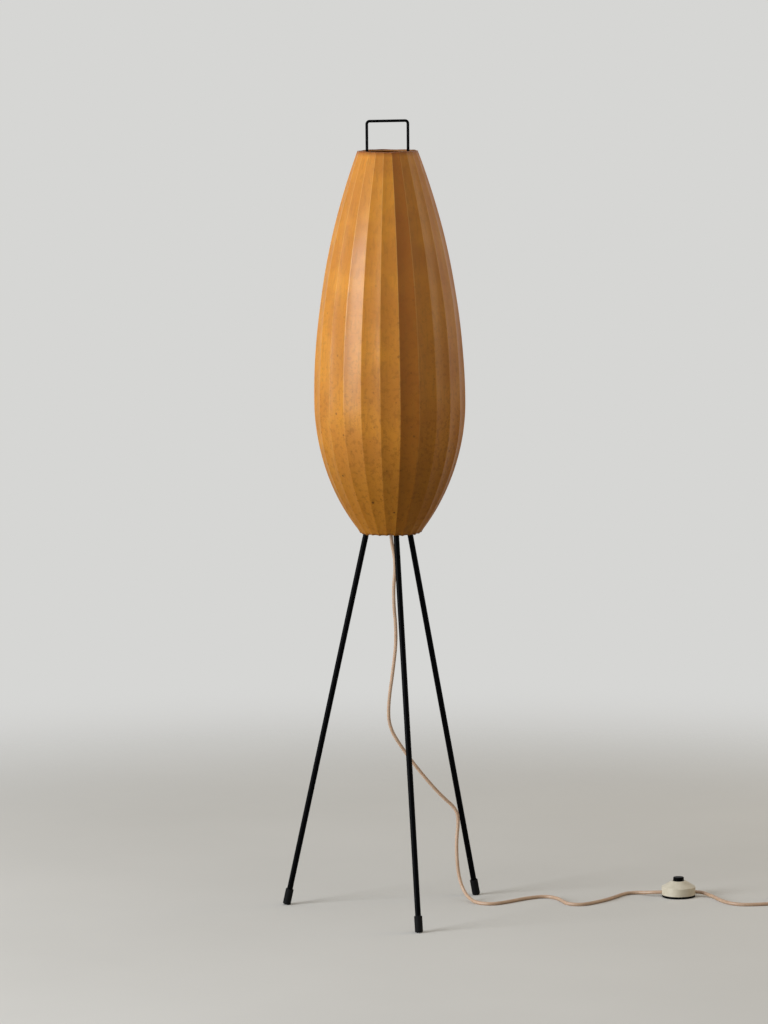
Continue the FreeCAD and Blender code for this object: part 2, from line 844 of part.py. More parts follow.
def cord_grip():
    """Tapered grip screwed on the nipple's lower end, with a cross hole for its screw."""
    radius = size.grip_diameter / 2
    nose = size.grip_nose_diameter / 2
    wide = nipple_radius + size.thread_gap
    socket_floor = size.grip_length - size.grip_on_nipple
    blank = turned("cord_grip_blank", [
        (grip_bore, 0), (nose, 0), (radius, size.grip_taper), (radius, size.grip_length),
        (wide, size.grip_length), (wide, socket_floor), (grip_bore, socket_floor)])
    blank.Placement = shift(0, 0, grip_level)
    drill = cylinder("grip_drill", size.grip_screw / 2 + size.thread_gap, radius * 2,
                     shift(0, 0, grip_screw_level) * ALONG_X)
    return piece(cut("cord_grip", blank, [drill]))


def grip_screw():
    """Headless screw that presses on the flex."""
    length = size.grip_diameter / 2 + size.grip_screw_past - grip_bore
    return piece(cylinder("grip_screw", size.grip_screw / 2, length,
                          shift(grip_bore, 0, grip_screw_level) * ALONG_X))


# Lampholder, heights from its lower end

holder_radius = size.holder_diameter / 2
holder_bore = holder_radius - size.holder_wall
core_level = size.holder_cap_height - size.holder_ledge_depth
core_top = core_level + size.core_height
riser_top = size.holder_neck + size.holder_floor


def in_holder(item):
    item.Placement = shift(0, 0, holder_level)
    return piece(item)


def holder_cap():
    """Domed cap on the nipple with a ledge for the insulating core."""
    bore = nipple_radius + size.thread_gap
    neck = size.holder_neck_diameter / 2
    ledge = holder_bore - size.holder_ledge
    shoulder = size.holder_neck + size.holder_dome
    in_holder(turned("holder_cap", [
        (bore, 0), (neck, 0), (neck, size.holder_neck), (holder_radius, shoulder),
        (holder_radius, size.holder_cap_height), (holder_bore, size.holder_cap_height),
        (holder_bore, core_level), (ledge, core_level), (ledge, shoulder + size.thread_gap),
        (bore + size.holder_floor, riser_top), (bore, riser_top)]))


def holder_skirt():
    top = size.holder_cap_height + size.skirt_height
    in_holder(turned("holder_skirt", [
        (holder_bore, size.holder_cap_height), (holder_radius, size.holder_cap_height),
        (holder_radius, top), (holder_bore, top)]))


def holder_core():
    """Insulating disc that carries the contacts, drilled from below for the terminal screws."""
    radius = holder_bore - size.core_gap
    blank = turned("holder_core_blank", [
        (0, core_level), (radius, core_level), (radius, core_top), (0, core_top)])
    blank.Placement = shift(0, 0, holder_level)
    hole = size.terminal_screw / 2 + size.thread_gap
    drills = [cylinder(f"terminal_drill_{at}", hole, size.terminal_reach,
                       shift(size.terminal_offset * side, 0, holder_level + core_level))
              for at, side in enumerate((-1, 1))]
    return piece(cut("holder_core", blank, drills))


def thread_outline(start, gap):
    """Points of a screw shell's ring-shaped waves, from the bottom up, moved outwards by a gap."""
    turns = round(float(size.thread_turns))
    root_radius = size.thread_root / 2
    crest_radius = size.thread_crest / 2
    points = []
    for at in range(turns):
        points.append((root_radius + gap, start + size.thread_pitch * at))
        points.append((crest_radius + gap, start + size.thread_pitch * (at + 0.5)))
    points.append((root_radius + gap, start + size.thread_pitch * turns))
    return points


bulb_level = core_top + size.contact_height + size.bulb_seat_gap
thread_start = size.bulb_tip_height + size.bulb_insulator_height


def holder_socket():
    """Brass screw shell that stands on the core around the bulb's cap."""
    radius = size.socket_diameter / 2
    waves = thread_outline(bulb_level + thread_start, size.screw_gap)
    mouth = waves[-1][1]
    in_holder(turned("holder_socket", [
        (waves[0][0], core_top), (radius, core_top), (radius, mouth)] + waves[::-1]))


def holder_contact():
    plate = core_top + size.contact_plate
    top = core_top + size.contact_height
    wide = size.contact_diameter / 2
    narrow = size.contact_button / 2
    in_holder(turned("holder_contact", [
        (0, core_top), (wide, core_top), (wide, plate), (narrow, plate), (narrow, top), (0, top)]))


def headed_screw(label, thread, head, head_height, reach):
    """Screw standing on its head's face at z = 0, shank upwards and head below."""
    shank = thread / 2
    rim = head / 2
    return turned(label, [(0, -head_height), (rim, -head_height), (rim, 0), (shank, 0),
                          (shank, reach), (0, reach)])


def terminal_screws():
    master = headed_screw("terminal_screw_master", size.terminal_screw, size.terminal_head,
                          size.terminal_head_height, size.terminal_reach)
    return piece(copies("holder_terminal_screws", master, [
        shift(size.terminal_offset * side, 0, holder_level + core_level) for side in (-1, 1)]))


def cord_riser():
    """The flex inside the grip and the nipple."""
    length = holder_level + riser_top - grip_level
    return piece(cylinder("cord_riser", cord_radius, length, shift(0, 0, grip_level)))


def holder_leads():
    """The flex's two cores, spread to the terminal screws."""
    start = holder_level + riser_top
    head_level = holder_level + core_level - size.terminal_head_height / 2
    foot = cord_radius / 2
    end = size.terminal_offset - (size.terminal_head + size.core_wire) / 2
    shapes = []
    for side in (-1, 1):
        points = [vector(foot * side, 0, start), vector(foot * side, 0, start + (head_level - start) / 3),
                  vector(end * side, 0, head_level)]
        shapes.append(tube(bent_edges(points)[0], size.core_wire / 2)[0])
    return piece(feature("holder_leads", Part.makeCompound(shapes)))


# Bulb, heights from its tip

cap_top = thread_start + size.thread_pitch * round(float(size.thread_turns)) + size.bulb_collar
neck_radius = size.bulb_neck / 2


def in_bulb(item):
    item.Placement = shift(0, 0, holder_level + bulb_level)
    return piece(item)


def bulb_base():
    """Tip contact, black insulator and brass screw cap."""
    tip = size.bulb_tip / 2
    nose = size.bulb_insulator_nose / 2
    wide = size.thread_root / 2
    bore = size.bulb_cap_bore / 2
    in_bulb(turned("bulb_contact", [(0, 0), (tip, 0), (tip, size.bulb_tip_height),
                                    (0, size.bulb_tip_height)]))
    in_bulb(turned("bulb_insulator", [(0, size.bulb_tip_height), (nose, size.bulb_tip_height),
                                      (wide, thread_start), (0, thread_start)]))
    in_bulb(turned("bulb_cap", [(bore, thread_start)] + thread_outline(thread_start, 0)
                   + [(neck_radius, cap_top), (bore, cap_top)]))


def glass_profile(inset):
    """Neck foot, meeting point of neck and ball, crown height, and both radii, for one face of the glass."""
    ball = size.bulb_diameter / 2
    centre = size.bulb_glass_height - ball
    neck_arc = (neck_radius * neck_radius + centre * centre - ball * ball) / ((ball - neck_radius) * 2)
    reach = (ball - inset) / (ball + neck_arc)
    meeting = ((neck_radius + neck_arc) * reach, cap_top + centre - centre * reach)
    foot = (neck_radius - inset, cap_top)
    crown = cap_top + centre + ball - inset
    return foot, meeting, crown, neck_arc + inset, ball - inset


def bulb_glass():
    """Pear-shaped glass: a ball and a hollow neck arc that meet tangentially."""
    outer_foot, outer_meeting, outer_crown, outer_neck, outer_ball = glass_profile(size.glass_wall * 0.0)
    inner_foot, inner_meeting, inner_crown, inner_neck, inner_ball = glass_profile(size.glass_wall)
    in_bulb(turned("bulb_glass", [
        outer_foot, Arc(*outer_meeting, outer_neck, 1), Arc(0, outer_crown, outer_ball, -1),
        (0, inner_crown), Arc(*inner_meeting, inner_ball, 1), Arc(*inner_foot, inner_neck, -1)]))


def bulb_mount():
    """Glass stem on the cap, and the support wire with the filament across its top."""
    flange = neck_radius - size.glass_wall - size.stem_gap
    rod = size.stem_diameter / 2
    flange_top = cap_top + size.stem_flange
    top = cap_top + size.stem_height
    in_bulb(turned("bulb_stem", [(0, cap_top), (flange, cap_top), (flange, flange_top), (rod, flange_top),
                                 (rod, top), (0, top)]))
    base = holder_level + bulb_level + top + size.filament_wire / 2
    rise = base + size.filament_rise
    points = [vector(-size.filament_foot, 0, base), vector(-size.filament_half_span, 0, rise),
              vector(size.filament_half_span, 0, rise), vector(size.filament_foot, 0, base)]
    wire, path = tube(bent_edges(points)[0], size.filament_wire / 2)
    tell_tube("bulb_filament", wire, path, size.filament_wire / 2)
    return piece(feature("bulb_filament", wire))


# Foot switch, in its own frame with the flex along X

switch_frame = shift(size.switch_across, size.switch_along, 0) * turn(UP, size.switch_heading)
switch_radius = size.switch_diameter / 2
entry_level = size.switch_base + size.clamp_floor + cord_radius + size.thread_gap
shoulder_level = size.switch_base + size.switch_wall_height
case_top = shoulder_level + size.switch_cone_height
flange_top = case_top - size.switch_wall - size.button_gap
flange_bottom = flange_top - size.button_flange_height
ring_bottom = flange_bottom - size.contact_ring_thickness


def in_switch(item, placement=None):
    item.Placement = switch_frame if placement is None else switch_frame * placement
    return item


def switch_cover():
    """Ivory cover: a low wall and a cone, open at the bottom, with screw bosses and two flex holes."""
    top_radius = size.switch_top_diameter / 2
    hole = size.button_diameter / 2 + size.button_gap
    inside = switch_radius - size.switch_wall
    slope = size.switch_cone_height / (switch_radius - top_radius)
    slant = root(slope * slope + 1.0)
    ceiling = case_top - size.switch_wall
    ceiling_radius = top_radius - size.switch_wall * (slant - 1.0) / slope
    wall_top = case_top - slope * (inside - top_radius) - size.switch_wall * slant
    shell = in_switch(turned("switch_shell", [
        (inside, size.switch_base), (switch_radius, size.switch_base), (switch_radius, shoulder_level),
        (top_radius, case_top), (hole, case_top), (hole, ceiling), (ceiling_radius, ceiling),
        (inside, wall_top)]))
    boss_radius = size.case_boss / 2
    boss_rim = size.case_screw_offset + boss_radius
    boss_top = case_top - slope * (boss_rim - top_radius) - size.switch_wall * slant / 2
    boss_height = boss_top - size.switch_base
    screw_depth = size.case_screw_length - size.switch_base
    screw_hole = size.case_screw / 2 + size.thread_gap
    flex_hole = cylinder("flex_drill", grip_bore, size.switch_diameter * 2,
                         switch_frame * shift(-size.switch_diameter, 0, entry_level) * ALONG_X)
    bosses = []
    drills = [flex_hole]
    for at, side in enumerate((-1, 1)):
        place = switch_frame * shift(0, size.case_screw_offset * side, size.switch_base)
        bosses.append(cylinder(f"case_boss_{at}", boss_radius, boss_height, place))
        drills.append(cylinder(f"case_drill_{at}", screw_hole, screw_depth, place))
    return piece(cut("switch_cover", joined("switch_cover_blank", [shell] + bosses), drills))


def switch_base():
    """Black base plate with the plunger's guide tower and sunk holes for the case screws."""
    radius = switch_radius - size.switch_base_inset
    guide = size.plunger_diameter / 2 + size.button_gap
    tower = size.tower_diameter / 2
    tower_top = size.switch_base + size.tower_height
    blank = in_switch(turned("switch_base_blank", [
        (0, 0), (radius, 0), (radius, size.switch_base), (tower, size.switch_base), (tower, tower_top),
        (guide, tower_top), (guide, size.switch_base), (0, size.switch_base)]))
    sink = size.case_screw_sunk + size.case_screw_head_height
    head_hole = size.case_screw_head / 2 + size.thread_gap
    shank_hole = size.case_screw / 2 + size.thread_gap
    drills = []
    for at, side in enumerate((-1, 1)):
        place = switch_frame * shift(0, size.case_screw_offset * side, 0)
        wide = cylinder(f"head_sink_{at}", head_hole, sink, place)
        narrow = cylinder(f"shank_hole_{at}", shank_hole, size.switch_base, place)
        drills.append(joined(f"base_drill_{at}", [wide, narrow]))
    return piece(cut("switch_base", blank, drills))


def switch_screws():
    level = size.case_screw_sunk + size.case_screw_head_height
    master = headed_screw("case_screw_master", size.case_screw, size.case_screw_head,
                          size.case_screw_head_height, size.case_screw_length - level - size.thread_gap)
    return piece(copies("switch_screws", master, [
        switch_frame * shift(0, size.case_screw_offset * side, level) for side in (-1, 1)]))


def switch_button():
    """Push button with its retaining flange and plunger."""
    plunger = size.plunger_diameter / 2
    flange = size.button_flange / 2
    radius = size.button_diameter / 2
    top = case_top + size.button_height
    bottom = size.switch_base + size.plunger_floor + size.button_travel
    button = turned("switch_button", [
        (0, bottom), (plunger, bottom), (plunger, flange_bottom), (flange, flange_bottom),
        (flange, flange_top), (radius, flange_top), (radius, top - size.button_edge),
        Arc(radius - size.button_edge, top, size.button_edge, -1), (0, top)])
    return piece(in_switch(button))


def switch_contact_ring():
    """Brass ring under the button's flange that bridges the two fixed contacts."""
    outer = size.contact_ring_outer / 2
    inner = size.contact_ring_inner / 2
    return piece(in_switch(turned("switch_contact_ring", [
        (inner, ring_bottom), (outer, ring_bottom), (outer, flange_bottom), (inner, flange_bottom)])))


def block_places():
    return [switch_frame * turn(UP, degrees) for degrees in (90, -90)]


block_top = size.switch_base + size.block_height
block_screw_along = size.block_offset + size.block_depth - size.block_screw_head / 2 - size.cord_gap


def switch_contacts():
    """Two brass terminal blocks with contact posts that stop short of the ring at rest."""
    post_along = (size.contact_ring_outer + size.contact_ring_inner) / 4
    post_height = ring_bottom - size.button_travel - size.contact_gap - block_top
    block = box("contact_block", size.block_depth, size.block_width, size.block_height,
                shift(size.block_offset, -size.block_width / 2, size.switch_base))
    post = cylinder("contact_post", size.contact_post / 2, post_height, shift(post_along, 0, block_top))
    drill = cylinder("block_drill", size.block_screw / 2 + size.thread_gap, size.block_screw_reach,
                     shift(block_screw_along, 0, block_top - size.block_screw_reach))
    master = cut("contact_master", joined("contact_blank", [block, post]), [drill])
    return piece(copies("switch_contacts", master, block_places()))


def switch_terminal_screws():
    master = headed_screw("block_screw_master", size.block_screw, size.block_screw_head,
                          size.block_screw_head_height, size.block_screw_reach)
    return piece(copies("switch_terminal_screws", master, [
        place * shift(block_screw_along, 0, block_top) * UPSIDE_DOWN for place in block_places()]))


def switch_clamps():
    """Blocks on the base plate that hold the ends of the flex."""
    block = box("clamp_block", size.clamp_thickness, size.clamp_width, size.clamp_height,
                shift(size.clamp_offset, -size.clamp_width / 2, size.switch_base))
    drill = cylinder("clamp_drill", cord_radius + size.thread_gap, size.clamp_thickness * 3,
                     shift(size.clamp_offset - size.clamp_thickness, 0, entry_level) * ALONG_X)
    master = cut("clamp_master", block, [drill])
    places = [switch_frame * turn(UP, degrees) for degrees in (0, 180)]
    return piece(copies("switch_clamps", master, places))


def switch_cores():
    """The flex's cores inside the switch: one to each contact, and one that passes above them."""
    end = size.clamp_offset
    bend = end - size.core_wire * 2
    spread = cord_radius / 2
    block_side = size.block_width / 2 + size.cord_gap
    middle = size.block_offset + size.block_depth / 2
    routes = [[vector(end * side, spread * -side, entry_level),
               vector(bend * side, spread * -side, entry_level),
               vector((end + block_side) / 2 * side, middle * -side, entry_level),
               vector(block_side * side, middle * -side, entry_level)] for side in (-1, 1)]
    over = block_top + size.block_screw_head_height + size.core_wire
    routes.append([vector(-end, -spread, entry_level), vector(-bend, -spread, entry_level),
                   vector(-size.block_width, -block_screw_along, over),
                   vector(size.block_width, -block_screw_along, over),
                   vector(bend, spread, entry_level), vector(end, spread, entry_level)])
    shapes = [tube(bent_edges(route)[0], size.core_wire / 2)[0] for route in routes]
    cores = feature("switch_cores", Part.makeCompound(shapes))
    cores.Placement = switch_frame
    return piece(cores)


def switch_spring():
    """Helical return spring round the guide tower, from the base plate to the flange."""
    wire = float(size.spring_wire)
    radius = float(size.spring_diameter) / 2
    seat = wire / 2 + float(size.spring_gap)
    low = float(size.switch_base) + seat
    high = float(flange_bottom) - seat
    turns = round(float(size.spring_turns))

    def helix(at):
        angle = 2 * math.pi * at
        return vector(radius * math.cos(angle), radius * math.sin(angle), low + (high - low) * at / turns)

    edges = wound_edges(helix, [step / 4 for step in range(4 * turns + 1)])
    solid, path = tube(edges, wire / 2)
    tell_tube("switch_spring", solid, path, wire / 2)
    print(f"  least gap to itself {least_gap(path, wire):.2f} mm")
    spring = feature("switch_spring", solid)
    spring.Placement = switch_frame
    return piece(spring)


def switch_point(along):
    """Point on the flex's line through the switch, along from its middle."""
    return switch_frame.multVec(vector(along, 0, entry_level))


# Flex, coil and plug

# The flex leaves the grip and the coil, and enters the switch, straight: its bends lie this far outside.
EXIT_RUN = 22.0
COIL_RUN = 18.0
ENTRY_RUN = 10.0


def route(points):
    return [vector(*point) for point in points]


def cord_drop():
    entry = [switch_point(-(switch_radius + ENTRY_RUN)), switch_point(-size.clamp_offset)]
    leaving = [vector(0, 0, grip_level), vector(0, 0, grip_level - EXIT_RUN)]
    return cord("cord_drop", leaving + route(DROP_ROUTE) + entry)


def cord_tail():
    leaving = [switch_point(size.clamp_offset), switch_point(switch_radius + ENTRY_RUN)]
    return cord("cord_tail", leaving + route(TAIL_ROUTE) + coil_approach)


coil_level = size.tie_thickness + size.tie_gap + cord_radius
coil_approach = [vector(across, along, coil_level) for across, along in COIL_APPROACH]
coil_start = coil_approach[-1]
coil_heading = (coil_start - coil_approach[0]).normalize()
coil_outer = size.coil_inner_radius + size.coil_step * size.turns_in
coil_last = size.coil_inner_radius + size.coil_step * size.turns_out
coil_slant = math.degrees(math.atan2(float(size.coil_step), 2 * math.pi * float(coil_outer)))
coil_ahead = turn(UP, -coil_slant).multVec(coil_heading)
coil_left = UP.cross(coil_ahead)
coil_entry = coil_start + coil_heading * float(size.cord_diameter)
coil_centre = coil_entry + coil_left * float(coil_outer)


def coil_curve(at):
    """Middle line of the coil after so many turns: in on the lower layer, half a turn up, then out again."""
    inner = float(size.coil_inner_radius)
    step = float(size.coil_step)
    turns_in = float(size.turns_in)
    past = at - turns_in
    if past <= 0:
        radius = inner - step * past
        lift = 0.0
    elif past < 0.5:
        radius = inner - step * (past - 2 * past ** 2)
        lift = step * (1 - math.cos(2 * math.pi * past)) / 2
    else:
        radius = inner + step * (past - 0.5)
        lift = step
    angle = 2 * math.pi * at
    outward = coil_ahead * math.sin(angle) - coil_left * math.cos(angle)
    return coil_centre + outward * radius + UP * lift


def cord_coil():
    turns = float(size.turns_in) + 0.5 + float(size.turns_out)
    quarters = round(4 * turns)
    edges = wound_edges(coil_curve, [turns * step / quarters for step in range(quarters + 1)])
    end = edges[-1].valueAt(edges[-1].LastParameter)
    end_heading = edges[-1].tangentAt(edges[-1].LastParameter)
    first_heading = edges[0].tangentAt(edges[0].FirstParameter)
    first = edges[0].valueAt(edges[0].FirstParameter)
    straight = float(size.cord_diameter)
    lead_in = Part.LineSegment(first - first_heading * straight, first).toShape()
    lead_out = Part.LineSegment(end, end + end_heading * straight).toShape()
    solid, path = tube([lead_in] + edges + [lead_out], cord_radius)
    tell_tube("cord_coil", solid, path, cord_radius)
    print(f"  least gap to itself {least_gap(path, size.cord_diameter):.2f} mm")
    piece(feature("cord_coil", solid))
    return end + end_heading * straight, end_heading


def coil_tie():
    """Band round all the coil's turns at one place, standing on the floor."""
    inside = size.coil_inner_radius - size.coil_step / 8 - cord_radius - size.tie_side_gap
    outside = coil_last + cord_radius + size.tie_side_gap
    half_width = (outside - inside) / 2
    half_height = cord_radius + size.coil_step / 2 + size.tie_gap
    outline = rounded_rectangle(half_width + size.tie_thickness, half_height + size.tie_thickness,
                                size.tie_corner + size.tie_thickness)
    opening = rounded_rectangle(half_width, half_height, size.tie_corner)
    band = extruded("coil_tie", outline, size.tie_width, inner=opening)
    middle = shift((inside + outside) / 2, size.tie_width / 2, half_height + size.tie_thickness)
    upright = turn(FreeCAD.Vector(1, 0, 0), 90)
    centre = shift(coil_centre.x, coil_centre.y, 0) * turn(UP, size.tie_azimuth)
    band.Placement = centre * middle * upright
    return piece(band)


# The plug lies flat on the floor; in its own frame X runs to the pins from the body's back.
plug_level = size.plug_thickness / 2
relief_start = vector(*LEAD_ROUTE[-1]) + turn(UP, size.plug_heading).multVec(vector(size.plug_lead, 0, 0))
plug_frame = shift(relief_start.x, relief_start.y, plug_level) * turn(UP, size.plug_heading)
plug_frame = plug_frame * shift(size.relief_length, 0, 0)


def plug_half(label, level, drills):
    """Half of the plug's body, split at the level of the pins."""
    back = size.plug_back / 2
    shoulder = size.plug_shoulder_width / 2
    front = size.plug_front / 2
    blank = extruded(f"{label}_blank", [
        (0, -back), (size.plug_shoulder, -shoulder), (size.plug_length, -front), (size.plug_length, front),
        (size.plug_shoulder, shoulder), (0, back)], size.plug_thickness / 2)
    blank.Placement = plug_frame * shift(0, 0, level)
    return piece(cut(label, blank, drills))


def plug():
    """Two halves round the pins, held by one screw, with a tapered strain relief at the back."""
    half_pitch = size.pin_pitch / 2
    pin_back = size.plug_length - size.pin_in_plug
    pin_radius = size.pin_diameter / 2
    pin_root = size.pin_root / 2
    drills = [cylinder(f"pin_drill_{at}", pin_root + size.pin_gap, size.pin_in_plug * 2,
                       plug_frame * shift(pin_back, half_pitch * side, 0) * ALONG_X)
              for at, side in enumerate((-1, 1))]
    head_seat = plug_frame * shift(size.plug_screw_along, 0, plug_level - size.plug_screw_head_height)
    screw_end = plug_frame * shift(size.plug_screw_along, 0, plug_level - size.plug_screw_length)
    screw_hole = cylinder("plug_screw_drill", size.plug_screw / 2 + size.thread_gap, size.plug_screw_length,
                          screw_end)
    head_hole = cylinder("plug_head_drill", size.plug_screw_head / 2 + size.thread_gap,
                         size.plug_screw_head_height, head_seat)
    upper_hole = joined("plug_upper_drill", [screw_hole, head_hole])
    plug_half("plug_lower_half", -plug_level, drills + [screw_hole])
    plug_half("plug_upper_half", 0, drills + [upper_hole])
    tip = size.pin_tip
    pin_end = size.pin_in_plug + size.pin_length
    pin = turned("plug_pin", [(0, 0), (pin_root, 0), (pin_root, size.pin_in_plug),
                              (pin_radius, size.pin_in_plug), (pin_radius, pin_end - tip),
                              Arc(pin_radius - tip, pin_end, tip, -1), (0, pin_end)])
    piece(copies("plug_pins", pin, [plug_frame * shift(pin_back, half_pitch * side, 0) * ALONG_X
                                    for side in (-1, 1)]))
    screw = headed_screw("plug_screw", size.plug_screw, size.plug_screw_head, size.plug_screw_head_height,
                         size.plug_screw_length - size.plug_screw_head_height)
    screw.Placement = head_seat * UPSIDE_DOWN
    piece(screw)
    nose = size.relief_nose / 2
    bore = cord_radius + size.thread_gap
    relief = turned("plug_relief", [
        (0, size.relief_socket), (bore, size.relief_socket), (bore, 0), (nose, 0),
        (size.plug_back / 2, size.relief_length), (0, size.relief_length)])
    relief.Placement = plug_frame * shift(-size.relief_length, 0, 0) * ALONG_X
    piece(relief)


def cord_lead(coil_end, heading):
    socket = plug_frame.multVec(vector(size.relief_socket - size.relief_length, 0, 0))
    return cord("cord_lead", [coil_end, coil_end + heading * COIL_RUN] + route(LEAD_ROUTE) + [socket])


def build():
    """Makes every piece of the lamp."""
    shade_skin()
    rib_wires()
    rim_wire("top_ring", top_ring_radius, top_ring_level)
    rim_wire("bottom_ring", bottom_ring_radius, bottom_ring_level)
    reach = size.foot_circle_radius + size.cap_diameter
    floor = box("floor_block", reach * 2, reach * 2, size.cap_diameter,
                shift(-reach, -reach, -size.cap_diameter))
    for side in LEG_AZIMUTHS:
        leg(side)
        foot_cap(side, floor)
    tripod_hub()
    leg_fasteners()
    carry_handle()
    handle_nuts()
    nipple()
    nipple_nuts()
    cord_grip()
    grip_screw()
    holder_cap()
    holder_skirt()
    holder_core()
    holder_socket()
    holder_contact()
    terminal_screws()
    cord_riser()
    holder_leads()
    bulb_base()
    bulb_glass()
    bulb_mount()
    switch_cover()
    switch_base()
    switch_screws()
    switch_button()
    switch_contact_ring()
    switch_contacts()
    switch_terminal_screws()
    switch_clamps()
    switch_cores()
    switch_spring()
    cord_drop()
    cord_tail()
    coil_end, end_heading = cord_coil()
    coil_tie()
    plug()
    cord_lead(coil_end, end_heading)


def check():
    """Stops at any object that failed or any piece without a sound shape."""
    doc.recompute()
    for item in doc.Objects:
        if {"Invalid", "Error"} & set(item.State):
            raise RuntimeError(f"{item.Label}: {item.State}")
    for item in pieces:
        if item.Shape.isNull() or not item.Shape.isValid():
            raise RuntimeError(f"{item.Label}: no sound shape")


def write():
    os.makedirs("parts", exist_ok=True)
    for item in pieces:
        item.Shape.exportStep(f"parts/{item.Label}.step")
    print(len(pieces), "pieces")


build()
check()
write()
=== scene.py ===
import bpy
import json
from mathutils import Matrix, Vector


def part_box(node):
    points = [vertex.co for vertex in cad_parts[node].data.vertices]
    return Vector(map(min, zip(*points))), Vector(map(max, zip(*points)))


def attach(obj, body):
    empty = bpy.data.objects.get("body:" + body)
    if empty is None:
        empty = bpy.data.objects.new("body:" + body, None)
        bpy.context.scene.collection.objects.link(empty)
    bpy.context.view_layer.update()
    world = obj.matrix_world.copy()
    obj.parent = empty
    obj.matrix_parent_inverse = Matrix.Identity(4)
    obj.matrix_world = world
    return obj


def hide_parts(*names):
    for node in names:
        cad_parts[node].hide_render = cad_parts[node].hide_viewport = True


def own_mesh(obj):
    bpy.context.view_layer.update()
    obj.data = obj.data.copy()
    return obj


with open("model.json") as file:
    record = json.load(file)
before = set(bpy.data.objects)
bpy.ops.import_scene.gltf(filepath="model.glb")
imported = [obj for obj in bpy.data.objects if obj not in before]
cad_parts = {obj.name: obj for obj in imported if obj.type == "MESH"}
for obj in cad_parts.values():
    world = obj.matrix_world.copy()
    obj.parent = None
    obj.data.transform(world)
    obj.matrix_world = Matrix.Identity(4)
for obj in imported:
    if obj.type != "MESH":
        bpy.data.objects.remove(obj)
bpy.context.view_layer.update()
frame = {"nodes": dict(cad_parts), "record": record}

# %% [markdown]
# # Cocoon floor lamp
#
# A tall shade of sprayed resin stands on three thin rods, with a wire handle out of its top and a flex
# that drops out of its bottom to a foot switch. The imported model is a fixed frame in metres, with Z up and
# the floor at 0. Each step below lays the finished surfaces over it.

# %% Libraries and units
import json
import math

import bmesh
import bpy
import numpy as np
from mathutils import Matrix, Vector

MM = 0.001
scene = bpy.context.scene

# %% [markdown]
# ## Camera
#
# The photograph was taken from far away and a little above the shade, so the lamp shows almost without
# perspective. The distance, the height and the turn were solved from the feet, the rims and the handle in
# the picture. A long lens at that place gives the same outline, and a small roll the lamp's lean.

# %% Camera
# Lengths are in metres and angles in radians, apart from the sensor's width in millimetres.
CAMERA_AZIMUTH = math.radians(-12.3)
CAMERA_DISTANCE = 8.611
CAMERA_ASIDE = -0.0115
CAMERA_HEIGHT = 1.744
CAMERA_TILT = 0.1203
CAMERA_ROLL = -0.0087
FOCAL_PIXELS = 5000
LONG_SIDE_PIXELS = 1024
SENSOR_WIDTH = 36
FAR_CLIP = 400

upwards = Vector((0, 0, 1))
towards_camera = Vector((math.sin(CAMERA_AZIMUTH), -math.cos(CAMERA_AZIMUTH), 0))
camera_right = Vector((math.cos(CAMERA_AZIMUTH), math.sin(CAMERA_AZIMUTH), 0))
camera_place = towards_camera * CAMERA_DISTANCE + camera_right * CAMERA_ASIDE + upwards * CAMERA_HEIGHT
camera = bpy.data.objects.new("camera", bpy.data.cameras.new("camera"))
camera.data.sensor_width = SENSOR_WIDTH
camera.data.lens = FOCAL_PIXELS / LONG_SIDE_PIXELS * SENSOR_WIDTH
camera.data.clip_end = FAR_CLIP
scene.collection.objects.link(camera)
camera.matrix_world = (
    Matrix.Translation(camera_place)
    @ Matrix.Rotation(CAMERA_AZIMUTH, 4, "Z")
    @ Matrix.Rotation(math.pi / 2 - CAMERA_TILT, 4, "X")
    @ Matrix.Rotation(CAMERA_ROLL, 4, "Z")
)
scene.camera = camera
print("lens", round(camera.data.lens, 1), "mm from", [round(value, 2) for value in camera.location])

# %% [markdown]
# ## Colour and node helpers
#
# Every finish is made of shader nodes alone. One function turns an sRGB hex colour into linear light, and
# one adds a node, sets it and links it, so that a finish reads as a list of what gives its look.

# %% Colour and node helpers
# The noise seldom leaves these two values.
NOISE_LOW, NOISE_HIGH = 0.32, 0.68


def linear(code):
    """Linear light of an sRGB hex colour, with full cover as its fourth value."""
    value = np.array([int(code[at:at + 2], 16) for at in (1, 3, 5)]) / 255
    light = np.where(value <= 0.04045, value / 12.92, ((value + 0.055) / 1.055) ** 2.4)
    return (*light, 1.0)


def node(tree, kind, sockets, **settings):
    """Adds a node, sets its properties, and fills each socket with a value or links it to an output."""
    made = tree.nodes.new(kind)
    for name, value in settings.items():
        setattr(made, name, value)
    for name, value in sockets.items():
        if isinstance(value, bpy.types.NodeSocket):
            tree.links.new(value, made.inputs[name])
        else:
            made.inputs[name].default_value = value
    return made


def blank(name, **sockets):
    """New material with its tree, its shader with the given uniform sockets, and its object coordinates."""
    material = bpy.data.materials.new(name)
    material.use_nodes = True
    tree = material.node_tree
    shader = tree.nodes["Principled BSDF"]
    for socket, value in sockets.items():
        shader.inputs[socket.replace("_", " ")].default_value = value
    return material, tree, shader, node(tree, "ShaderNodeTexCoord", {})


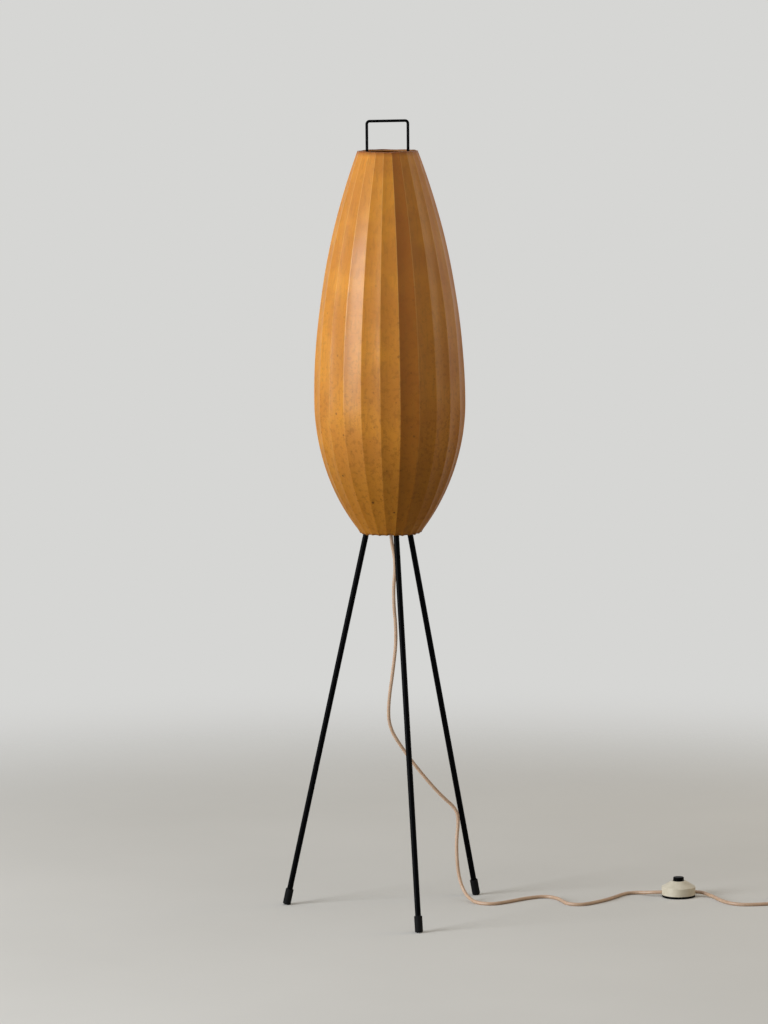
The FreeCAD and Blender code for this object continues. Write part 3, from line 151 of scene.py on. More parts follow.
def mottled(name, colours, grain, roughness, relief=0.0, **sockets):
    """Material whose colour and gloss drift between two values with a noise of the given grain in metres,
    with a relief of the given depth in metres from a noise a quarter as coarse."""
    material, tree, shader, spot = blank(name, **sockets)
    place = spot.outputs["Object"]
    drift = node(tree, "ShaderNodeTexNoise", {"Vector": place, "Scale": 1 / grain, "Detail": 5.0})
    share = node(tree, "ShaderNodeMapRange", {
        "Value": drift.outputs[0], "From Min": NOISE_LOW, "From Max": NOISE_HIGH}).outputs[0]
    colour = node(tree, "ShaderNodeMix", {
        0: share, 6: linear(colours[0]), 7: linear(colours[1])}, data_type="RGBA")
    gloss = node(tree, "ShaderNodeMapRange", {
        "Value": share, "To Min": roughness[0], "To Max": roughness[1]})
    tree.links.new(colour.outputs[2], shader.inputs["Base Color"])
    tree.links.new(gloss.outputs[0], shader.inputs["Roughness"])
    if relief:
        fine = node(tree, "ShaderNodeTexNoise", {"Vector": place, "Scale": 4 / grain, "Detail": 3.0})
        bump = node(tree, "ShaderNodeBump", {"Height": fine.outputs[0], "Distance": relief})
        tree.links.new(bump.outputs[0], shader.inputs["Normal"])
    return material


print("mid grey #808080 in linear light:", round(linear("#808080")[0], 3))

# %% [markdown]
# ## Flex
#
# The flex is a round two-core cord with a soft peach-coloured jacket. It hangs out of the cord grip, leans
# over the right leg and lies on the floor as it fell. Past the picture's edge the spare length is coiled and
# tied beside its plug. A curve with a round bevel follows the same route as the solid under it, and the turns
# of the coil are points of the same curve.

# %% Flex finish
# A soft jacket scatters light under its surface, so the colour is even and the gloss broad. Faint marks
# from handling drift along it.
peach_flex = mottled(
    "peach_flex_jacket", ("#AE8F74", "#BA9C82"), 9 * MM, (0.36, 0.5), 0.02 * MM,
    Subsurface_Weight=0.12, Subsurface_Radius=(4 * MM, 2 * MM, 1 * MM), Subsurface_Scale=1.0)
print(peach_flex.name, "has", len(peach_flex.node_tree.nodes), "nodes")

# %% Flex routes
FLEX_DIAMETER = 6 * MM
DROP_ROUTE = np.array([
    (0, 0, 676), (0, 0, 654), (9, 2, 614), (5, 11, 556), (14, 22, 482), (10, 36, 420), (4, 49, 362),
    (6, 58, 318), (28, 62, 280), (66, 66, 229), (102, 69, 187), (129, 70, 163), (134, 71, 141),
    (130, 71, 110), (129, 67, 74), (133, 65, 36), (140, 51, 13), (147, 28, 4.5), (156, 11, 3), (168, 0, 3),
    (183, -2, 3), (209, 10, 3), (243, 30, 3), (264, 37, 3), (279, 39, 3), (291, 33, 3), (299, 19, 3),
    (303, -7, 3), (303, -27, 3), (309, -39, 3), (319, -46, 3), (332, -47, 3), (346, -40, 3), (369, -26, 3),
    (394, -5, 3), (416, 19, 3), (432, 31, 3), (449, 30, 3.5), (463, 17, 5), (475.92, 2.02, 7.9),
    (495.46, -2.24, 7.9)]) * MM
TAIL_ROUTE = np.array([
    (534.54, -10.76, 7.9), (554.08, -15.02, 7.9), (563, -24, 4.5), (570, -39, 3.2), (572, -64, 3),
    (576, -89, 3), (584, -108, 3), (600, -121, 3), (622, -125, 3), (648, -126, 3.3), (678, -130, 4.5),
    (703, -136, 4.5)]) * MM
LEAD_ROUTE = np.array([(772, -64, 8.8), (778, -45, 7), (781.95, -26.41, 7)]) * MM
LEAD_RUN = 18 * MM
print("points to the switch, to the coil and to the plug:", len(DROP_ROUTE), len(TAIL_ROUTE), len(LEAD_ROUTE))

# %% Flex coil
COIL_CENTRE = np.array([719.77, -96.41, 4.5]) * MM
COIL_HEADING = math.radians(-14.94)
COIL_RADIUS, COIL_STEP = 24 * MM, 6.7 * MM
TURNS_IN, TURNS_CLIMB, TURNS_OUT = 2.75, 0.5, 3.0
COIL_POINTS = 131


def coil_points():
    """Points along a coil of two layers. The lower spiral winds inwards by one step a turn, half a turn
    climbs by one step as a cosine wave and dips inwards as a parabola, and the upper spiral winds outwards.
    Radius and height are functions of the turns made so far."""
    turns = np.linspace(0, TURNS_IN + TURNS_CLIMB + TURNS_OUT, COIL_POINTS)[:, None]
    past = turns - TURNS_IN
    climb = np.clip(past, 0, TURNS_CLIMB)
    dip = climb * (1 - climb / TURNS_CLIMB)
    outside = np.maximum(-past, 0) + np.maximum(past - TURNS_CLIMB, 0) - dip
    lift = COIL_STEP * (1 - np.cos(np.pi * climb / TURNS_CLIMB)) / 2
    ahead = np.array([math.cos(COIL_HEADING), math.sin(COIL_HEADING), 0])
    left = np.array([-ahead[1], ahead[0], 0])
    outwards = np.sin(2 * np.pi * turns) * ahead - np.cos(2 * np.pi * turns) * left
    return COIL_CENTRE + outwards * (COIL_RADIUS + COIL_STEP * outside) + lift * np.array([0, 0, 1])


coil = coil_points()
print("coil of", TURNS_IN + TURNS_CLIMB + TURNS_OUT, "turns,", (np.ptp(coil, axis=0) / MM).round(1), "mm")

# %% Flex curves
BEVEL_STEPS, CURVE_STEPS = 5, 6


def unit(vectors):
    """Vectors of length one along the last axis."""
    return vectors / np.linalg.norm(vectors, axis=-1, keepdims=True)


def flex_curve(name, points):
    """Round cord along an open quadratic curve that starts and ends at the first and last point."""
    curve = bpy.data.curves.new(name, "CURVE")
    curve.dimensions = "3D"
    curve.bevel_depth = FLEX_DIAMETER / 2
    curve.bevel_resolution = BEVEL_STEPS
    curve.resolution_u = CURVE_STEPS
    curve.use_fill_caps = True
    spline = curve.splines.new("NURBS")
    spline.points.add(len(points) - 1)
    spline.points.foreach_set("co", np.column_stack([points, np.ones(len(points))]).ravel())
    spline.order_u = 3
    spline.use_endpoint_u = True
    curve.materials.append(peach_flex)
    cord = bpy.data.objects.new(name, curve)
    scene.collection.objects.link(cord)
    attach(cord, "stand")
    print(name, round(np.linalg.norm(np.diff(points, axis=0), axis=1).sum(), 3), "m along its points")
    return cord


lead_start = coil[-1] + unit(coil[-1] - coil[-2]) * LEAD_RUN
flex_drop = flex_curve("flex_drop", DROP_ROUTE)
flex_tail = flex_curve("flex_tail", np.concatenate([TAIL_ROUTE, coil, lead_start[None], LEAD_ROUTE]))
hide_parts("cord_drop")
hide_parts("cord_tail", "cord_coil", "cord_lead")

# %% [markdown]
# ## Sprayed resin
#
# The shade's film is a honey-coloured resin, sprayed in several coats with a thin clear one last. Coats cloud
# and run, dust sticks to them, and the lower part is browner. Painted shade darkens the lowest band, the
# upper rim and a few panels, painted light brightens one panel, and a painted highlight runs along the
# ridges. Each kind of mark is a layer of its own over one colour, because then its size, its strength and the
# levels where it shows are set apart.

# %% Resin noises
# The film lets light through, so its colour glows and the inside of the shade isn't black. Noises of
# different grain stand for clouds, blotches, specks, drawn-out runs, orange peel and slow waves, and cells
# for spots and dots.
RESIN_NOISES = {
    # name: grain, detail
    "clouds": (60 * MM, 5.0),
    "blotches": (7 * MM, 4.0),
    "specks": (2.6 * MM, 2.0),
    "runs": (5 * MM, 3.0),
    "peel": (2.2 * MM, 2.0),
    "waves": (45 * MM, 1.0),
}
SPOT_SPACING, DOT_SPACING = 26 * MM, 13 * MM
RUN_STRETCH = 0.1

resin, resin_tree, resin_shader, resin_spot = blank(
    "sprayed_amber_resin", Specular_Tint=linear("#FFF2D8"), Coat_Roughness=0.2,
    Subsurface_Weight=0.5, Subsurface_Radius=(4 * MM, 3 * MM, 1 * MM), Subsurface_Scale=1.0)
resin_place = resin_spot.outputs["Object"]
drawn = node(resin_tree, "ShaderNodeMapping", {"Vector": resin_place, "Scale": (1, 1, RUN_STRETCH)})
noises = {}
for name, (grain, detail) in RESIN_NOISES.items():
    place = drawn.outputs[0] if name == "runs" else resin_place
    noise = node(resin_tree, "ShaderNodeTexNoise", {"Vector": place, "Scale": 1 / grain, "Detail": detail})
    noises[name] = noise.outputs[0]
spots = node(resin_tree, "ShaderNodeTexVoronoi", {"Vector": resin_place, "Scale": 1 / SPOT_SPACING})
dots = node(resin_tree, "ShaderNodeTexVoronoi", {"Vector": resin_place, "Scale": 1 / DOT_SPACING})
print("grains in mm:", {name: round(grain / MM, 1) for name, (grain, detail) in RESIN_NOISES.items()})

# %% Resin colours
# Clouds, runs and a random tone per panel come from uneven coats, dark specks and spots from dust and age,
# most of them low down. One panel's tone is painted light and a few panels' tone is painted shade. The film
# is paler on the ridges, where it is stretched thin, with a painted highlight there too. The lowest band is
# darker as painted shade, and the rims are dark where the film has gathered, the upper rim also with painted
# shade.
AGED_LEVEL, CLEAN_LEVEL, CLEAN_SHARE = 720 * MM, 1140 * MM, 0.15

shade_low, shade_high = (corner.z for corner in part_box("shade_skin"))
film_place = node(resin_tree, "ShaderNodeSeparateXYZ", {0: resin_spot.outputs["UV"]})
film_level = film_place.outputs["Y"]
# In panel widths, from 0 on a ridge to 0.5 in the middle of a panel.
ridge_distance = node(resin_tree, "ShaderNodeMath", {
    0: film_place.outputs["X"], 1: 0.5}, operation="PINGPONG")
film_tone_and_painted_shading = node(resin_tree, "ShaderNodeAttribute", {}, attribute_name="tone")
aged = node(resin_tree, "ShaderNodeMapRange", {
    "Value": film_level, "From Min": CLEAN_LEVEL, "From Max": AGED_LEVEL, "To Min": CLEAN_SHARE}).outputs[0]
clean = node(resin_tree, "ShaderNodeMath", {0: 1.0, 1: aged}, operation="SUBTRACT").outputs[0]
resin_layers = (
    # colour, what its share follows, where the share is none and where it is full, full share, what scales it
    ("#B47024", noises["clouds"], 0.35, 0.65, 0.7, None),
    # Random tone per panel, with painted light on one panel and painted shade on a few.
    ("#8E4A06", film_tone_and_painted_shading.outputs["Fac"], 0.0, 1.0, 0.65, None),
    ("#A0661D", noises["runs"], 0.5, 0.68, 0.35, None),
    ("#936122", aged, 0.2, 1.0, 0.4, None),
    # Darker and more saturated towards the bottom: painted shade of the downward-facing lower part.
    ("#835110", film_level, 860 * MM, 735 * MM, 0.6, None),
    # Paler on the ridges, partly thin stretched film and partly a painted highlight.
    ("#DDA55A", ridge_distance.outputs[0], 0.045, 0.0, 0.6, clean),
    ("#6B420E", noises["blotches"], 0.49, 0.67, 0.43, aged),
    ("#5A3309", noises["specks"], 0.61, 0.7, 0.35, aged),
    ("#3A2008", spots.outputs["Distance"], 0.11, 0.05, 0.8, aged),
    ("#4A2C08", dots.outputs["Distance"], 0.13, 0.05, 0.5, aged),
    # Darker at the upper rim, partly thicker gathered film and partly painted shade under the rolled lip.
    ("#8A480A", film_level, shade_high - 10 * MM, shade_high - 0.5 * MM, 0.75, None),
    ("#70380A", film_level, shade_high - 2.6 * MM, shade_high - 0.4 * MM, 0.7, None),
    ("#613810", film_level, shade_low + 4.5 * MM, shade_low + 0.5 * MM, 0.7, None),
)
film_colour = linear("#CA8426")
for code, source, none, full, most, scale in resin_layers:
    share = node(resin_tree, "ShaderNodeMapRange", {
        "Value": source, "From Min": none, "From Max": full, "To Max": most},
        interpolation_type="SMOOTHSTEP").outputs[0]
    if scale:
        share = node(resin_tree, "ShaderNodeMath", {0: share, 1: scale}, operation="MULTIPLY").outputs[0]
    film_colour = node(resin_tree, "ShaderNodeMix", {
        0: share, 6: film_colour, 7: linear(code)}, data_type="RGBA").outputs[2]
resin_tree.links.new(film_colour, resin_shader.inputs["Base Color"])
print(len(resin_layers), "layers of colour from", round(shade_low, 4), "to", round(shade_high, 4), "m")

# %% Resin gloss and relief
# A satin gloss, duller low down, where dust has settled and the clear last coat is thinner. Slow waves and a
# fine relief like orange peel break it.
WAVE_DEPTH, PEEL_DEPTH = 0.5 * MM, 0.05 * MM

resin_drifts = (
    # socket, what it follows, first and last value there, first and last value of the socket
    ("Roughness", noises["clouds"], 0.3, 0.7, 0.5, 0.6),
    ("Specular IOR Level", film_level, 700 * MM, 950 * MM, 0.08, 0.3),
    ("Coat Weight", film_level, 840 * MM, 1100 * MM, 0.04, 0.26),
)
for socket, source, first, last, least, most in resin_drifts:
    drift = node(resin_tree, "ShaderNodeMapRange", {
        "Value": source, "From Min": first, "From Max": last, "To Min": least, "To Max": most})
    resin_tree.links.new(drift.outputs[0], resin_shader.inputs[socket])
waves = node(resin_tree, "ShaderNodeBump", {"Height": noises["waves"], "Distance": WAVE_DEPTH})
peel = node(resin_tree, "ShaderNodeBump", {
    "Height": noises["peel"], "Distance": PEEL_DEPTH, "Normal": waves.outputs[0]})
resin_tree.links.new(peel.outputs[0], resin_shader.inputs["Normal"])
print(resin.name, "has", len(resin_tree.nodes), "nodes")

# %% [markdown]
# ## Finishes of all pieces
#
# The wires of the cage, the hub, the nuts, the lampholder, the bulb and the inside of the switch keep the
# solids of the frame. They and the pieces drawn below take the finish of their slot in the record. Metals
# differ in tint and gloss, plastics in gloss and depth, and each has the small marks of its making.

# %% Finishes by slot
finishes = {
    # Dull wire under the sprayed film, so it shows through a brown glaze, uneven along its length.
    "galvanised_wire": mottled(
        "resin_coated_wire", ("#8A5418", "#A96C26"), 6 * MM, (0.4, 0.55), 0.05 * MM),
    # Black lacquer on steel: deep black, satin, with a faint orange peel.
    "black_lacquered_steel": mottled(
        "black_lacquered_steel", ("#010102", "#030304"), 18 * MM, (0.36, 0.46), 0.004 * MM,
        Specular_IOR_Level=0.03),
    # Moulded rubber: near black, with no sharp gloss.
    "black_rubber": mottled(
        "black_rubber", ("#030303", "#070708"), 7 * MM, (0.6, 0.78), 0.04 * MM, Specular_IOR_Level=0.12),
    # Bright zinc with a slight blue tint.
    "zinc_plated_steel": mottled(
        "zinc_plated_steel", ("#B4B8BC", "#C8CBCD"), 4 * MM, (0.25, 0.4), Metallic=1.0),
    # Turned brass, a little tarnished.
    "brass": mottled("turned_brass", ("#B08D4A", "#C9A860"), 5 * MM, (0.22, 0.38), Metallic=1.0),
    # Pressed phenolic resin: near black with a brown cast and a soft shine.
    "black_bakelite": mottled("black_bakelite", ("#15110F", "#221B17"), 6 * MM, (0.22, 0.34), 0.01 * MM),
    # White glaze over a fired body.
    "glazed_porcelain": mottled("glazed_porcelain", ("#E4E0D6", "#EDEAE2"), 8 * MM, (0.12, 0.2)),
    # Clear glass with the faintest waviness.
    "clear_glass": mottled(
        "clear_glass", ("#F4F7F6", "#FBFCFC"), 20 * MM, (0.01, 0.03), 0.01 * MM,
        Transmission_Weight=1.0, IOR=1.5),
    # Drawn tungsten, dark grey.
    "tungsten": mottled("tungsten_wire", ("#4A4B4E", "#5E6063"), 2 * MM, (0.35, 0.5), Metallic=1.0),
    # Soft sheath of the cores, brown.
    "flex_core": mottled("flex_core_sheath", ("#6B3F28", "#7C4A30"), 5 * MM, (0.4, 0.5)),
    # Moulded ivory plastic, yellowed a little and pitted finely.
    "ivory_plastic": mottled("ivory_plastic", ("#BEB49E", "#CAC1AD"), 11 * MM, (0.34, 0.5), 0.03 * MM),
    # Moulded black plastic with a soft shine.
    "black_plastic": mottled(
        "black_plastic", ("#020203", "#040405"), 6 * MM, (0.36, 0.48), 0.01 * MM, Specular_IOR_Level=0.03),
    # Nickel plate, warm grey and bright.
    "nickel": mottled("nickel_plate", ("#B9B3A6", "#CBC6BB"), 5 * MM, (0.14, 0.24), Metallic=1.0),
    "cocoon_resin": resin,
    "peach_flex": peach_flex,
}
for part in frame["record"]["subparts"]:
    shown = frame["nodes"][part["node"]]
    shown.data.materials.clear()
    shown.data.materials.append(finishes[part["material_slot"]])
print(len(finishes), "finishes on", len(frame["nodes"]), "nodes")

# %% [markdown]
# ## Surface helpers
#
# The smooth pieces are grids of points. A profile is rounded at its corners as a tool or a mould would
# leave it, then carried round an axis or along a path. The grid becomes quads, and the points that meet at
# a seam or a pole are welded, so that each piece is closed.

# %% Paths and grids
# The points beside an arc lie this many times as far from the corner as the arc's ends.
BESIDE_ARC = 1.12


def rounded(corners, radii, steps=6):
    """Open path through the corners. At each inner corner the path leaves one side and joins the other
    along an arc of the given radius, with a point just before and just after it to keep the sides flat."""
    corners = np.asarray(corners, float)
    radius = np.asarray(radii, float)[:, None]
    corner = corners[1:-1]
    back, ahead = unit(corners[:-2] - corner), unit(corners[2:] - corner)
    half = np.arccos(np.clip((back * ahead).sum(-1, keepdims=True), -1, 1)) / 2
    reach = radius / np.tan(half)
    centre = corner + unit(back + ahead) * radius / np.sin(half)
    turned = np.pi - 2 * half
    along = np.linspace(0, 1, steps + 1)[None, :, None]
    first, last = corner + back * reach - centre, corner + ahead * reach - centre
    arcs = centre[:, None] + (np.sin((1 - along) * turned[:, None]) * first[:, None]
                              + np.sin(along * turned[:, None]) * last[:, None]) / np.sin(turned[:, None])
    before, after = corner + back * reach * BESIDE_ARC, corner + ahead * reach * BESIDE_ARC
    path = np.concatenate([before[:, None], arcs, after[:, None]], 1).reshape(-1, corners.shape[1])
    return np.concatenate([corners[:1], path, corners[-1:]])


def lathe(profile, sides):
    """Grid of a profile, radius and height, carried round the Z axis in equal steps."""
    angle = np.arange(sides) * 2 * np.pi / sides
    radius, height = np.asarray(profile)[:, :1], np.asarray(profile)[:, 1:]
    return np.stack(np.broadcast_arrays(radius * np.cos(angle), radius * np.sin(angle), height), -1)


def moved(points, place):
    """Points of a grid after a turn and a shift given as a 4 by 4 matrix."""
    place = np.array(place)
    return points @ place[:3, :3].T + place[:3, 3]


print("a corner rounded by half its sides:", rounded([(0, 1), (0, 0), (1, 0)], [0.5], 2).round(3).tolist())

# %% Pieces from grids
WELD = 0.001 * MM


def surface(name, points, body, slot, nodes, closed_rows=False, pattern=None):
    """Piece with a quad between each four neighbours of a grid whose columns close on themselves. The pattern
    has the texture values along the columns, with one more for the seam, and along the rows, and each
    column's tone."""
    rows, columns = points.shape[:2]
    first_rows = np.arange(rows if closed_rows else rows - 1)
    row, column = np.meshgrid(first_rows, np.arange(columns), indexing="ij")
    above, right = (row + 1) % rows, (column + 1) % columns
    corners = ((row, column), (row, right), (above, right), (above, column))
    quads = np.stack([at_row * columns + at_column for at_row, at_column in corners], -1)
    mesh = bpy.data.meshes.new(name)
    mesh.from_pydata(points.reshape(-1, 3), [], quads.reshape(-1, 4))
    if pattern is not None:
        along_columns, along_rows, tones = pattern
        across = np.stack([along_columns[column + step] for step in (0, 1, 1, 0)], -1)
        up = np.stack([along_rows[at_row] for at_row in (row, row, above, above)], -1)
        mesh.uv_layers.new(name="panels").data.foreach_set("uv", np.stack([across, up], -1).ravel())
        mesh.attributes.new("tone", "FLOAT", "FACE").data.foreach_set("value", tones[column].ravel())
    shell = bmesh.new()
    shell.from_mesh(mesh)
    bmesh.ops.remove_doubles(shell, verts=shell.verts, dist=WELD)
    bmesh.ops.recalc_face_normals(shell, faces=shell.faces)
    shell.to_mesh(mesh)
    shell.free()
    mesh.shade_smooth()
    mesh.materials.append(finishes[slot])
    piece = bpy.data.objects.new(name, mesh)
    scene.collection.objects.link(piece)
    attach(piece, body)
    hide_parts(*nodes)
    print(name, len(mesh.polygons), "faces,", (np.ptp(points, axis=(0, 1)) / MM).round(1), "mm")
    return piece


print("points closer than", round(WELD / MM, 4), "mm are welded")

# %% [markdown]
# ## Shade skin
#
# The skin is a film of resin sprayed on a cage of 24 wires. As it dries it shrinks and draws each panel in
# between two wires, so ridges stand out with shallow hollows between them, and it rolls over the rings at
# both rims. A mould could give the shape but not the slight differences from panel to panel. The formula
# below has the two arcs of the outline, a hollow across each panel and small seeded differences.

# %% Outline of the shade
BELLY_RADIUS, RIM_RADIUS = 131.5 * MM, 52.5 * MM
BELLY_RISE = 227 * MM

belly_level = shade_low + BELLY_RISE


def ridge_radius(level, inset):
    """Radius of the ridges at each level. Above and below the belly the outline is an arc that is upright at
    the belly and reaches the rim's radius at the rim, moved in by the inset."""
    rise = np.where(level > belly_level, shade_high - belly_level, BELLY_RISE)
    arc = (rise ** 2 + (BELLY_RADIUS - RIM_RADIUS) ** 2) / (2 * (BELLY_RADIUS - RIM_RADIUS))
    return BELLY_RADIUS - arc + np.sqrt((arc - inset) ** 2 - (level - belly_level) ** 2)


bends = np.array([shade_low, belly_level, shade_high])
print("ridges at", (bends / MM).round(), "mm have radii of", (ridge_radius(bends, 0) / MM).round(1), "mm")

# %% Panels of the shade
RIBS = 24
FIRST_RIB = math.radians(10.5)
PANEL_HOLLOW, RIM_HOLLOW = 1.4 * MM, 0.3 * MM
LEAST_DEPTH, MOST_DEPTH = 0.88, 1.15
HOLLOW_WAVES = ((0.10, 190 * MM), (0.07, 83 * MM))
RIDGE_WANDER, WANDER_LENGTH = 0.5 * MM, 310 * MM
RIDGE_ROUND = 0.7 * MM
PANEL_SEED = 11

half_panel = np.pi / RIBS
seeded = np.random.default_rng(PANEL_SEED)
panel_depth = seeded.uniform(LEAST_DEPTH, MOST_DEPTH, RIBS)
wave_start = seeded.uniform(0, 2 * np.pi, (3, RIBS))


def waving(level, length, start):
    """Sine along the height with the given wavelength and start."""
    return np.sin(2 * np.pi * level / length + start)


def panel_points(level, inset, panel, side):
    """Angle, radius and distance from the nearest ridge, with side from -1 to 1 across a panel. The section
    is a chord between two ridges drawn in by a parabola, with the ridges rounded as a hyperbola. A seeded
    depth for each panel, and waves along the height with a seeded start, make the panels differ."""
    ridge = ridge_radius(level, inset)
    fullness = (ridge - RIM_RADIUS) / (BELLY_RADIUS - RIM_RADIUS)
    wander = RIDGE_WANDER * np.clip(fullness, 0, 1) * waving(level, WANDER_LENGTH, wave_start[0])
    ridge = ridge + wander[:, panel] * (1 - side) / 2 + wander[:, (panel + 1) % RIBS] * (1 + side) / 2
    uneven = 1 + sum(share * waving(level, length, start[panel])
                     for (share, length), start in zip(HOLLOW_WAVES, wave_start[1:]))
    hollow = (RIM_HOLLOW + (PANEL_HOLLOW - RIM_HOLLOW) * fullness) * panel_depth[panel] * uneven
    half_chord = ridge * np.sin(half_panel)
    forward = ridge * np.cos(half_panel) - hollow * (1 - side ** 2)
    sideways = half_chord * side
    from_ridge = half_chord * (1 - np.abs(side))
    crease = np.tan(half_panel + 2 * hollow / half_chord)
    rounding = crease * (np.sqrt(from_ridge ** 2 + RIDGE_ROUND ** 2) - from_ridge)
    angle = FIRST_RIB + (2 * panel + 1) * half_panel + np.arctan2(sideways, forward)
    return angle, np.hypot(forward, sideways) - rounding, from_ridge


hollows = PANEL_HOLLOW * panel_depth / MM
print("hollows at the belly from", round(hollows.min(), 2), "to", round(hollows.max(), 2), "mm")

# %% Rims of the shade
BEAD_WIDTH, BEAD_HEIGHT = 2.4 * MM, 3.5 * MM
BEAD_OUT, BEAD_DOWN = 0.9 * MM, 0.8 * MM
DRIP_PANEL = 16.95
DRIP_WIDTH, DRIP_HEIGHT, DRIP_OUT = 2.2 * MM, 2.6 * MM, 1.1 * MM
# The ragged edges have a broad and a fine wave, each with a depth, a rate round the shade and a start.
BROAD_DEPTH, BROAD_RATE, BROAD_START = 0.5 * MM, 3.7, 1.1
FINE_DEPTH, FINE_RATE, FINE_START = 0.35 * MM, 9.3, 0.2
RAGGED_REACH, RAGGED_TOP = 4 * MM, 0.6

drip_angle = FIRST_RIB + 2 * half_panel * DRIP_PANEL


def bell(distance, reach):
    """Bell curve that is 1 at no distance and falls off over the reach."""
    return np.exp(-(distance / reach) ** 2)


def rim_relief(level, angle, panel, from_ridge):
    """How far the film stands out and hangs down near its rims. A bead gathers on each ridge of the lower
    rim and one drip at the upper rim, as bell curves. Two waves round the shade make both edges ragged."""
    above_low, below_high = level - shade_low, shade_high - level
    bead = bell(from_ridge, BEAD_WIDTH) * bell(above_low, BEAD_HEIGHT) * panel_depth[panel]
    drip = bell((angle - drip_angle) * RIM_RADIUS, DRIP_WIDTH) * bell(below_high, DRIP_HEIGHT)
    broad = BROAD_DEPTH * np.sin(BROAD_RATE * angle + BROAD_START)
    fine = FINE_DEPTH * np.sin(FINE_RATE * angle + FINE_START * wave_start[1][panel])
    ragged = (broad + fine) * (bell(above_low, RAGGED_REACH) - RAGGED_TOP * bell(below_high, RAGGED_REACH))
    return BEAD_OUT * bead + DRIP_OUT * drip, BEAD_DOWN * bead + ragged


print("the drip hangs at", round(math.degrees(drip_angle), 1), "degrees")

# %% Rows and columns of the film
# The rows go round the lower rim, up the wall, round the upper rim and down the inside. The columns are
# closer together at the ridges.
LIP_RADIUS = 49.1 * MM
FILM = 1 * MM
PANEL_STEPS = 12
RIM_ROLL = np.array([
    # distance from the rim, inset, share of the way to the lip's radius
    (1.0, 1.0, 1.0), (0.4, 1.0, 1.02), (0.05, 0.8, 0.9), (0.0, 0.6, 0.55), (0.05, 0.35, 0.2),
    (0.35, 0.12, 0.04), (0.8, 0.02, 0.0)]) * np.array([MM, MM, 1])
RIM_START, RIM_END, RIM_ROWS = 1.6 * MM, 12 * MM, 8
WALL_MARGIN, WALL_ROWS = 16 * MM, 122
INSIDE_EDGE, INSIDE_LIP = 1 * MM, 0.5
INSIDE_MARGIN, INSIDE_ROWS = 2 * MM, 58

shade_height = shade_high - shade_low
near_rim = np.linspace(RIM_START, RIM_END, RIM_ROWS)
wall = np.linspace(WALL_MARGIN, shade_height - WALL_MARGIN, WALL_ROWS)
wall = np.concatenate([near_rim, wall, shade_height - near_rim[::-1]])
inside = np.linspace(shade_height - INSIDE_MARGIN, INSIDE_MARGIN, INSIDE_ROWS)
inside = np.concatenate([[shade_height - INSIDE_EDGE], inside, [INSIDE_EDGE]])
inside_lip = np.concatenate([[INSIDE_LIP], np.zeros(INSIDE_ROWS), [INSIDE_LIP]])
row_level = shade_low + np.concatenate([RIM_ROLL[:, 0], wall, shade_height - RIM_ROLL[::-1, 0], inside])
row_inset = np.concatenate([RIM_ROLL[:, 1], 0 * wall, RIM_ROLL[::-1, 1], np.full(len(inside), FILM)])
row_lip = np.concatenate([RIM_ROLL[:, 2], 0 * wall, RIM_ROLL[::-1, 2], inside_lip])
bunched = np.sin(np.pi / 2 * np.linspace(-1, 1, PANEL_STEPS + 1)[:-1])
column_place = (np.arange(RIBS)[:, None] + (bunched + 1) / 2).ravel()
print(len(row_level), "rows and", len(column_place), "columns")

# %% Shade skin
# The inside takes the colour of one clean level, because the marks of age and the painted shade of the rims
# and the lowest band are on the outside.
# Panel 16 gets no tone as painted light, and panels 18 to 22 a browner tone as painted shade. Panel 17 is the
# darkest.
PAINTED_LIGHT_PANEL, DARK_PANEL, PAINTED_SHADE_PANELS = 16, 17, slice(18, 23)
PAINTED_LIGHT_TONE, DARK_TONE, PAINTED_SHADE_TONE, TONE_SPREAD = 0, 1.1, 0.25, 0.3
INSIDE_LEVEL = 1200 * MM


def skin_points(level, inset, lip, across):
    """Grid of the film, with a row for each level and a column for each place across, counted in panels. Rows
    with lip 1 lie on the rim's circle, and those between blend."""
    level, inset, lip = level[:, None], inset[:, None], lip[:, None]
    panel = np.floor(across).astype(int)
    angle, radius, from_ridge = panel_points(level, inset, panel, 2 * (across - panel) - 1)
    outwards, down = rim_relief(level, angle, panel, from_ridge)
    radius = radius + lip * (LIP_RADIUS - radius) + outwards * (1 - lip)
    return np.stack([radius * np.cos(angle), radius * np.sin(angle), level - down], -1)


panel_tone_and_painted_shading = np.random.default_rng(PANEL_SEED + 1).uniform(0, TONE_SPREAD, RIBS)
panel_tone_and_painted_shading[PAINTED_SHADE_PANELS] += PAINTED_SHADE_TONE
panel_tone_and_painted_shading[PAINTED_LIGHT_PANEL], panel_tone_and_painted_shading[DARK_PANEL] = PAINTED_LIGHT_TONE, DARK_TONE
column_tone_and_painted_shading = panel_tone_and_painted_shading[np.floor(column_place).astype(int)]
colour_level = np.concatenate([row_level[:-len(inside)], np.full(len(inside), INSIDE_LEVEL)])
surface("sprayed_skin", skin_points(row_level, row_inset, row_lip, column_place), "shade", "cocoon_resin",
        ["shade_skin"], closed_rows=True, pattern=(np.append(column_place, RIBS), colour_level, column_tone_and_painted_shading))

# %% [markdown]
# ## Legs and foot caps
#
# Each leg is a straight steel rod with a stud turned on its upper end, lacquered black, and a rubber cap
# pushed on its foot. The rod's axis is read from its solid, and a profile along it is carried round. The
# cap's profile is carried round the same axis and then cut level with the floor, as the rubber wears.

